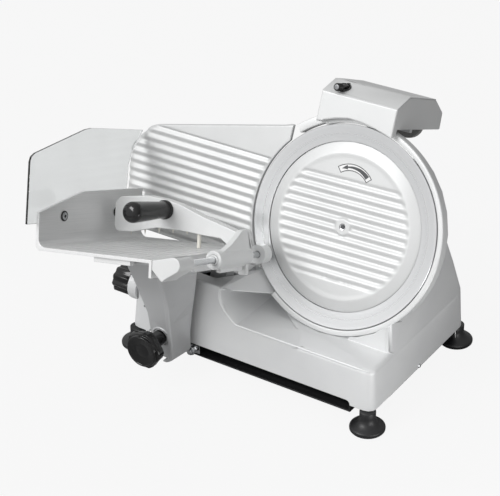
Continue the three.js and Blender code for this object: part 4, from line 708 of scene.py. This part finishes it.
# Feet: a short stem that flares into a cup
rubberFoot = {
    "stem": [(0, -176.3), (9.6, -176.3), (10, -176.8), (10, -184)],
    "flare": [(10.6, -187), (12.3, -190.5), (15.6, -193.6), (20, -196.2), (21.6, -197.6), (22, -199.5), (21.8, -201.5)],
    "under": [(20.6, -203), (18, -203), (16, -201), (0, -201)],
    "left": -247,
    "right": 96.7,
    "front": -96,
    "rear": 131,
}
profile = rubberFoot["stem"] + softened(rubberFoot["flare"], 3) + rubberFoot["under"]
for side in ("left", "right"):
    for end in ("front", "rear"):
        node = f"foot_{side}_{end}"
        foot = lathe(profile, 56, (rubberFoot[side], rubberFoot[end], 0), "z")
        settled("RubberCup_" + node, foot, baseFrame, node, "rubber", smooth=45)

# Pusher handle, guide rod, bush and rest peg in the rod's frame
gripHandle = {
    "curve": [(0, -158), (5.5, -157.6), (9.5, -156), (11.9, -153.2), (12.9, -149.6), (12.8, -143), (12.3, -131)]
    + [(11.5, -114), (10.8, -98), (10.6, -89), (11.2, -85.5), (12, -84)],
    "rear": [(12, -80.3), (0, -80.3)],
    "centre": (-107, 0, 48.5),
}
handle = lathe(softened(gripHandle["curve"], 4) + gripHandle["rear"], 56, gripHandle["centre"])
settled("GripHandle", handle, rodFrame, "pusher_handle", "blackPlastic", smooth=50)
rodProfile = [(0, -214), (3.5, -214), (4, -213.5), (4, -18.5), (3.5, -18), (0, -18)]
settled("GuideRodBar", lathe(rodProfile, 40), rodFrame, "guide_rod", "chrome", smooth=40)
bushProfile = [(4.35, -134.5), (6.2, -134.5), (6.6, -134.1), (6.6, -60.9), (6.2, -60.5), (4.35, -60.5), (4.35, -134.5)]
settled("BushSleeve", lathe(bushProfile, 40), rodFrame, "pusher_bush", "whiteCasting", smooth=40)
pegPlace = (-60, -73, 0)
pegProfile = [(0, 4.6), (1.9, 4.6), (2.6, 5.4), (2.6, 22), (0, 22)]
settled("RestPegPin", lathe(pegProfile, 24, pegPlace, "z"), rodFrame, "rest_peg", "nylon", smooth=40)
print("turned pieces made")

# The casting's scoop under the blade: a room that runs straight back beneath a sheet of the block's top
scoop = {
    # how far back, and where the wall's top edge is there
    "wall": [(-112, -120), (-96.5, -119.6), (-94, -118), (-90.5, -117.2), (-86, -117), (-50, -117), (-15, -117)],
    "mouth": [(-120, -97.5), (-86.7, -84.6), (-59.7, -75.8), (-38, -70), (40, -60)],  # the roof's edge seen from above
    "front": -112,
    "right": 40,
    # the wall's section: right of its top edge, and height
    "section": [(0, -79), (0, -88), (0.8, -94), (3.4, -100), (7.4, -105.5), (12.4, -110.6), (17.6, -115), (22, -118.2)],
    "foot": 25.5,
    "floor": -121,
    "roof": -79,
    "roofTo": -60,  # further back the lining's top is lower
    "backTop": -84,  # leaves room for the gauge plate when it moves back
    "backRight": -23,
    "backPlate": (-16, -13),
    "opening": (-80, -40),  # the heights between which the mouth is cut
    "thick": 3,
    "proud": 0.03,
    "flat": 69,
    "clearance": 134.9,
    # the casting's front face leans back from its foot, and the lining starts behind it
    "face": -100,
    "faceFoot": -176,
    "faceLean": 0.078,
    "behindFace": 1,
    "sheet": [(-116.6, -96.6, -76.7), (-75.6, -34.8, -101), (-100.5, -22.5, -79.8), (-115.5, -50, -76.7)],
    "sheetThick": 1.6,
    "bead": {"left": -119.6, "top": -78.5, "step": 2, "steps": 5, "to": 96, "ledgeSteps": 40}
    | {"size": 1.9, "inset": 1.1, "taper": 0.25, "sides": 14},
}


def faceAt(height):
    return scoop["face"] + scoop["faceLean"] * (height - scoop["faceFoot"])


def underRing(x, y, z, drop=0):
    # keeps a point of the lining below the room of the blade's ring
    reach = scoop["clearance"] ** 2 - x * x
    if reach > 0:
        tilt = math.radians(machine["bladeTilt"])
        z = min(z, (-math.sqrt(reach) - math.sin(tilt) * y) / math.cos(tilt) - drop)
    return (x, y, z)


def scoopSection(left, grow, top):
    # from the top of the wall down to the floor
    s = scoop
    points = [(left + x - grow, z - grow * x / s["foot"]) for x, z in s["section"]]
    points[0] = (left - grow, top)
    return points + [(left + s["foot"] - grow, s["floor"] - grow)]


def carveScoop(shape):
    s = scoop
    room = bmesh.new()
    rows = []
    for y, x in s["wall"]:
        outline = scoopSection(x, 0, s["roof"]) + [(s["right"], s["floor"]), (s["right"], s["roof"])]
        rows.append([room.verts.new((a, y, b)) for a, b in outline])
    joinRows(room, rows)
    bmesh.ops.recalc_face_normals(room, faces=room.faces)
    mouth = [(s["mouth"][0][0], s["front"])] + s["mouth"] + [(s["right"], s["front"])]
    opening = prism(mouth, "z", *s["opening"])
    return carved(carved(shape, placed(room, baseFrame)), placed(opening, baseFrame))


def onHousing(name, shape, smooth, bevel=0):
    settled(name, shape, baseFrame, "base_housing", "casting", smooth=smooth, bevel=bevel, replaces=False)


def makeLining():
    s = scoop
    lining = bmesh.new()
    rows = []
    for y, x in s["wall"][1:]:
        top = s["roof"] if y < s["roofTo"] else s["backTop"]
        end = x + s["foot"] + s["flat"]
        inner = scoopSection(x, -s["proud"], top) + [(end, s["floor"] + s["proud"])]
        outer = scoopSection(x, s["thick"], top) + [(end, s["floor"] - s["thick"])]
        row = [underRing(a, max(y, faceAt(b) + s["behindFace"]), b) for a, b in inner]
        row += [underRing(a, max(y, faceAt(b) + s["behindFace"]), b, s["thick"]) for a, b in outer[::-1]]
        rows.append([lining.verts.new(place) for place in row])
    joinRows(lining, rows)
    onHousing("ScoopLining", lining, 30)
    back = scoopSection(s["wall"][-1][1], 0, s["backTop"])
    back += [(s["backRight"], s["floor"]), (s["backRight"], s["backTop"])]
    onHousing("ScoopBack", prism(back, "y", *s["backPlate"]), 30)
    # the thin sheet that closes the room towards the blade
    sheet = bmesh.new()
    rows = [[sheet.verts.new((x, y, z - drop)) for x, y, z in s["sheet"]] for drop in (0, s["sheetThick"])]
    joinRows(sheet, rows, capped=False)
    for row in rows:
        sheet.faces.new(row[:3])
        sheet.faces.new((row[0], row[2], row[3]))
    onHousing("ScoopSheet", sheet, 25, bevel=0.5)


def makeBead():
    # a rounded bead along the scoop's rim and the ledge's front edge
    b = scoop["bead"]
    path = [(b["left"], b["top"] - b["step"] * k) for k in range(b["steps"])]
    path += scoopSection(b["left"], 0, b["top"])[1:]
    foot, count = path[-1][0], b["ledgeSteps"]
    path += [(foot + (b["to"] - foot) * k / count, scoop["floor"]) for k in range(1, count + 1)]
    bead = bmesh.new()
    rows = []
    for i, (x, z) in enumerate(path):
        ahead, behind = path[min(i + 1, len(path) - 1)], path[max(i - 1, 0)]
        way = Vector((ahead[0] - behind[0], 0, ahead[1] - behind[1])).normalized()
        inward = Vector((-way.z, 0, way.x))
        centre = Vector((x, faceAt(z) + b["inset"], z)) - inward * b["inset"]
        size = b["size"] * min(1, b["taper"] * (1 + min(i, len(path) - 1 - i)))
        ring = [centre + inward * across + Vector((0, along, 0)) for across, along in circle(size, b["sides"])]
        rows.append([bead.verts.new(place) for place in ring])
    joinRows(bead, rows)
    onHousing("ScoopBead", bead, 60)


makeLining()
makeBead()
refined("base_housing", "casting", bevel=1.2, segments=3, reshape=carveScoop)
for node in ("sharpener_frame", "sharpener_post"):
    refined(node, "casting", bevel=1.2, segments=3)
refined("carriage_arm", "armCasting", bevel=2.2, segments=4)
for node in ("rod_bracket_front", "rod_bracket_rear", "pusher"):
    refined(node, "whiteCasting", bevel=1.0, segments=3)

# Sharpener hood: its front wall reaches down over the ring guard, its pin stands in a round hole in the slope
hoodShape = {
    # place across, and height
    "lowEdge": [(-61, 117.7), (-47.7, 121.9), (-38.6, 125.1), (-26.9, 128.5), (-17, 130.3), (-3.3, 129.9), (6.2, 129)]
    + [(25.9, 125.4), (39.3, 121.6), (46, 118.8)],
    "arc": 131,
    "arcReach": 0.4,
    "frontWall": -7.5,
    "skin": [(-11.5, 156.45), (15.2, 171.1), (30, 170.95), (88, 169.35), (88, 168.7), (15.3, 170.2), (-11.3, 155.8)],
    "skinEnds": (-59.6, 43.6),
}
pin = {
    "place": (-38, 0, 164),
    "body": [(0, -18.7), (3.5, -18.7), (4.2, -18.1), (4.2, -8.6), (3.6, -8), (3.6, 26), (0, 26)],
    "face": [(0, -18.75), (1.2, -18.75), (1.4, -18.95), (2.7, -19), (3.2, -18.8), (3.3, -18.4), (0, -18.4)],
    "ridge": [(3.9, -0.42), (4.8, -0.16), (4.8, 0.16), (3.9, 0.42)],
    "ridgeEnds": (-17.9, -9),
    "ridges": 22,
    "bore": 5.4,
    "boreSteps": 48,
    "boreEnds": (-40, 60),
}
grommet = {
    "profile": [(0, 0.5), (7.4, 0.5), (8.1, 1), (9.1, 1.2), (9.8, 0.9), (10, 0.3), (0, 0.2)],
    "place": (-39.5, 1.2, 163.2),
    "slope": math.atan2(14.7, 27.2),
}


def reachDown(shape):
    toHead = headFrame.inverted()
    edge = hoodShape["lowEdge"]
    for point in shape.verts:
        place = toHead @ point.co
        onArc = abs(math.hypot(place.x, place.z) - hoodShape["arc"]) < hoodShape["arcReach"]
        if place.y < hoodShape["frontWall"] and onArc:
            for (x0, z0), (x1, z1) in zip(edge, edge[1:]):
                if x0 <= place.x <= x1:
                    place.z = z0 + (z1 - z0) * (place.x - x0) / (x1 - x0)
                    break
            point.co = headFrame @ place
    return shape


def bored(shape):
    # a shape less the pin's bore
    x, _, z = pin["place"]
    bore = [(x + a, z + b) for a, b in circle(pin["bore"], pin["boreSteps"])]
    return carved(shape, prism(bore, "y", *pin["boreEnds"]))


refined("sharpener_hood", "hoodCasting", bevel=2.0, segments=4, reshape=reachDown)
skin = bored(prism(hoodShape["skin"], "x", *hoodShape["skinEnds"]))
settled("HoodTopSkin", skin, headFrame, "sharpener_hood", "hoodCasting", smooth=30, replaces=False)
ring = lathe(grommet["profile"], 48, axis="z")
bmesh.ops.remove_doubles(ring, verts=ring.verts, dist=merge["axis"])
placed(ring, Matrix.Translation(grommet["place"]) @ Matrix.Rotation(grommet["slope"], 4, "X"))
settled("PinGrommet", bored(ring), headFrame, "sharpener_hood", "rubber", smooth=50, replaces=False)
pinFrame = headFrame @ Matrix.Translation(pin["place"])
settled("PinBody", lathe(pin["body"], 44), pinFrame, "sharpener_pin", "blackPlastic", smooth=40)
ridge = prism(pin["ridge"], "y", *pin["ridgeEnds"])
ridge = repeated(ridge, "blackPlastic", pin["ridges"], turn=(0, 2 * math.pi / pin["ridges"], 0))
settled("PinKnurl", ridge, pinFrame, "sharpener_pin", "blackPlastic", smooth=30, replaces=False)
settled("PinFace", lathe(pin["face"], 36), pinFrame, "sharpener_pin", "darkSteel", smooth=30, replaces=False)
for node in finishOf["blackPlastic"]:
    if node not in ("pusher_handle", "sharpener_pin"):
        refined(node, "blackPlastic", bevel=0.9, segments=3)
for finish in ("stone", "acrylic", "blackSheetAndPaintedShade"):
    for node in finishOf[finish]:
        refined(node, finish, bevel=0.4)

# Tray: the sheet with a row of long pressed ribs along its travel
trayRibs = {
    "floor": -36.8,
    # where the node's own ribs stand, which are laid flat
    "flatHeight": 2.2,
    "flatFrom": -282,
    "flatTo": -129,
    "first": -277,
    "step": 12.6,
    "count": 12,
    "width": 2.3,
    "height": 1.1,
    "sunk": 0.01,
    "from": -213,
    "to": -14,
    "rows": 12,
    "arc": 8,
    # how blunt the ends are, and their least size
    "blunt": 8,
    "least": 0.02,
}


def flattenFloor(shape):
    toTray = trayFrame.inverted()
    floor = trayRibs["floor"]
    for point in shape.verts:
        place = toTray @ point.co
        onFloor = trayRibs["flatFrom"] < place.x < trayRibs["flatTo"]
        if onFloor and floor < place.z < floor + trayRibs["flatHeight"]:
            place.z = floor
            point.co = trayFrame @ place
    return shape


def pressedRib():
    # half an oval along the travel, drawn in at both ends
    r = trayRibs
    rib = bmesh.new()
    rows = []
    for k in range(r["rows"] + 1):
        share = k / r["rows"]
        size = math.sqrt(max(r["least"], 1 - (2 * share - 1) ** r["blunt"]))
        along = r["from"] + (r["to"] - r["from"]) * share
        row = []
        for i in range(r["arc"] + 1):
            angle = math.pi * i / r["arc"]
            across, rise = r["width"] * math.cos(angle), r["height"] * math.sin(angle)
            row.append(rib.verts.new((across * size, along, rise * size)))
        rows.append(row)
    joinRows(rib, rows)
    return rib


refined("tray", "tray", bevel=0.5, reshape=flattenFloor)
start = (trayRibs["first"], 0, trayRibs["floor"] - trayRibs["sunk"])
ribs = repeated(pressedRib(), "tray", trayRibs["count"], start=start, step=(trayRibs["step"], 0, 0))
settled("TrayRibs", ribs, trayFrame, "tray", "tray", smooth=50, replaces=False)

# Bolts of the splash guard: a dished head with a socket on a dark washer; a dark hexagon in the shallow socket is
# painted shade for its depth
guardBolt = {
    "along": {"guard_bolt_front": -170, "guard_bolt_rear": -62},
    "height": -2.3,
    # a profile, its sides and its finish
    "pieces": {
        "BoltHead_": (
            [(0, -302.8), (4.6, -302.8), (5, -302.2), (5, -298.6), (2.5, -298.6), (2.5, -290.3), (4.8, -290.3)]
            + [(4.7, -289.6), (4.2, -289.2), (3.4, -289), (2.3, -289.1), (2.1, -289.7), (0, -289.7)],
            32, "steel",
        ),
        "BoltWasher_": (
            [(4.7, -291), (6.4, -291), (6.4, -290.2), (5.8, -289.7), (4.7, -289.7), (4.7, -291)],
            32, "rubber",
        ),
        # a dark hexagon at the bottom of the shallow socket: painted shade
        "BoltSocket_": ([(0, -289.72), (2, -289.72), (2, -289.6), (0, -289.6)], 6, "blackSheetAndPaintedShade"),
    },
}
for node, along in guardBolt["along"].items():
    for name, (profile, sides, finish) in guardBolt["pieces"].items():
        shape = lathe(profile, sides, (0, along, guardBolt["height"]), "x")
        settled(name + node, shape, trayFrame, node, finish, smooth=35, replaces=name == "BoltHead_")

# Small fasteners: a hexagon bolt on the guide shoe, a dark screw in the front wall, a bright one on the side
shoeBolt = (-157, 0, -178.2)
fasteners = {
    # a profile, its sides, centre and axis, the node that holds it and its finish
    "ShoeWasher": (
        [(0, -105), (5.6, -105), (6, -104.6), (6, -103.8), (0, -103.8)],
        32, shoeBolt, "y", "guide_shoe", "chrome",
    ),
    "ShoeBolt": (
        [(0, -108.6), (3.6, -108.6), (4.5, -108), (4.5, -104.9), (0, -104.9)],
        6, shoeBolt, "y", "guide_shoe", "steel",
    ),
    "WallScrew": (
        [(0, -0.5), (1.2, -0.5), (1.7, 0.2), (1.7, 3), (0, 3)],
        24, (-233, -97.4, -141), "y", "base_housing", "darkSteel",
    ),
    "SideScrew": (
        [(0, 106.4), (2, 106.4), (2.8, 105.4), (2.8, 102), (0, 102)],
        24, (0, 15.8, -172.6), "x", "base_housing", "chrome",
    ),
}
for name, (profile, sides, centre, axis, node, finish) in fasteners.items():
    settled(name, lathe(profile, sides, centre, axis), baseFrame, node, finish, smooth=25, replaces=False)

# Lock knob: a raised, rounded rim about a soft dish
knobDish = {
    "curve": [(0, -172.9), (6, -172.6), (12, -171.9), (15.5, -172.4), (18.2, -174.6), (19.6, -175.6), (21, -175.2)],
    "rear": [(21.6, -173.5), (21.6, -171.6), (0, -171.6)],
    "centre": (-181, 0, -148.5),
}
dish = lathe(softened(knobDish["curve"], 4) + knobDish["rear"], 64, knobDish["centre"])
settled("KnobDish", dish, baseFrame, "lock_knob", "blackPlastic", smooth=50, replaces=False)
for node in ("drive_belt", "cord_gland"):
    refined(node, "rubber")
refined("dial_collar", "casting")
refined("gauge_carrier", "gauge")
refined("guide_shoe", "chrome", bevel=0.5)
print("castings rounded")

# Floor, background and light
studio = {
    "background": "#fcfcfc",
    "floorSize": 8.0,
    "floorDrop": 0.2,  # in millimetres, below the feet
    "floorBounce": "#aaaaaa",
    "floorGlow": 0.93,
    "floorRoughness": 0.9,
    # place, size and power; the fill stands low, beside the base
    "lamps": {"KeyLight": ((-1.15, -2.5, 2.3), 1.5, 62), "FillLight": ((0.5, -0.15, 0.02), 0.25, 0.95)},
    # where the soft world is brightest, where it starts to rise, and its two levels: as light, and as gleams
    "world": ((-0.58, -0.35, 0.735), -0.5, 0.0, 0.86),
    "gleam": ((-0.55, -0.6, 0.58), -1, 0.2, 1.0),
}


def seenRays(tree):
    # the rays that show the backdrop, straight or through the clear guard
    rays = addNode(tree, "ShaderNodeLightPath").outputs
    ways = {0: rays["Is Camera Ray"], 1: rays["Is Transmission Ray"]}
    return rays, addNode(tree, "ShaderNodeMath", ways, operation="MAXIMUM")


def makeFloor():
    bpy.ops.mesh.primitive_plane_add(size=studio["floorSize"])
    floor = bpy.context.object
    floor.name = "StudioFloor"
    floor.location.z = -studio["floorDrop"] * mm
    bounce = {"Roughness": studio["floorRoughness"], "Base Color": linear(studio["floorBounce"])}
    material, tree, surface = newMaterial("PaleStudioFloor", bounce)
    glow = addNode(tree, "ShaderNodeEmission", {"Color": linear(studio["background"]), "Strength": 1})
    clear = addNode(tree, "ShaderNodeMixShader", {"Fac": studio["floorGlow"], 1: surface, 2: glow})
    _, seen = seenRays(tree)
    shown = addNode(tree, "ShaderNodeMixShader", {"Fac": seen, 1: surface, 2: clear})
    output = next(n for n in tree.nodes if n.type == "OUTPUT_MATERIAL")
    tree.links.new(shown.outputs["Shader"], output.inputs["Surface"])
    floor.data.materials.append(material)


def makeWorld():
    world = bpy.data.worlds.new("SoftStudio")
    bpy.context.scene.world = world
    world.use_nodes = True
    tree = world.node_tree
    tree.nodes.clear()
    rays, seen = seenRays(tree)
    direction = addNode(tree, "ShaderNodeTexCoord").outputs["Generated"]
    levels = []
    for way, start, dim, bright in (studio["world"], studio["gleam"]):
        toward = addNode(tree, "ShaderNodeVectorMath", {0: direction, 1: way}, operation="DOT_PRODUCT")
        reach = {"From Min": start, "From Max": 1, "To Min": dim, "To Max": bright}
        levels.append(addNode(tree, "ShaderNodeMapRange", {"Value": toward.outputs["Value"], **reach}))
    mix = {0: rays["Is Glossy Ray"], 2: levels[0], 3: levels[1]}
    level = addNode(tree, "ShaderNodeMix", mix, data_type="FLOAT")
    soft = addNode(tree, "ShaderNodeBackground", {"Color": linear("#ffffff"), "Strength": level})
    pale = addNode(tree, "ShaderNodeBackground", {"Color": linear(studio["background"]), "Strength": 1})
    mixed = addNode(tree, "ShaderNodeMixShader", {"Fac": seen, 1: soft, 2: pale})
    addNode(tree, "ShaderNodeOutputWorld", {"Surface": mixed})


makeFloor()
makeWorld()
for name, (place, size, power) in studio["lamps"].items():
    lamp = bpy.data.lights.new(name, "AREA")
    lamp.size, lamp.energy = size, power
    holder = held(name, lamp)
    holder.location = place
    holder.rotation_mode = "QUATERNION"
    target = Vector(machine["bladeCentre"]) * mm - Vector(place)
    holder.rotation_quaternion = target.to_track_quat("-Z", "Y")

# Camera, from the photograph's perspective
view = {
    "azimuth": 34.16,
    "elevation": 30.31,
    "roll": -0.74,
    "focal": 1648.43,  # in pixels of the image's width
    "imageWidth": 500,
    "place": (880.25, -1496.57, 985.36),  # from the blade's centre
    "sensor": 36,
    "clip": (0.05, 50),
}


def makeCamera():
    camera = bpy.data.cameras.new("ProductCamera")
    camera.sensor_width = view["sensor"]
    camera.lens = view["focal"] / view["imageWidth"] * camera.sensor_width
    camera.clip_start, camera.clip_end = view["clip"]
    holder = held("ProductCamera", camera)
    azimuth, elevation, roll = (math.radians(view[angle]) for angle in ("azimuth", "elevation", "roll"))
    level = math.cos(elevation)
    forward = Vector((-math.sin(azimuth) * level, math.cos(azimuth) * level, -math.sin(elevation)))
    right = Vector((math.cos(azimuth), math.sin(azimuth), 0))
    up = right.cross(forward)
    turnedRight = right * math.cos(roll) + up * math.sin(roll)
    turnedUp = up * math.cos(roll) - right * math.sin(roll)
    axes = Matrix((turnedRight, turnedUp, -forward)).transposed()
    holder.matrix_world = Matrix.LocRotScale(baseFrame @ Vector(view["place"]), axes.to_quaternion(), None)
    bpy.context.scene.camera = holder


makeCamera()
bpy.context.scene.view_settings.view_transform = "Standard"
print("studio ready")
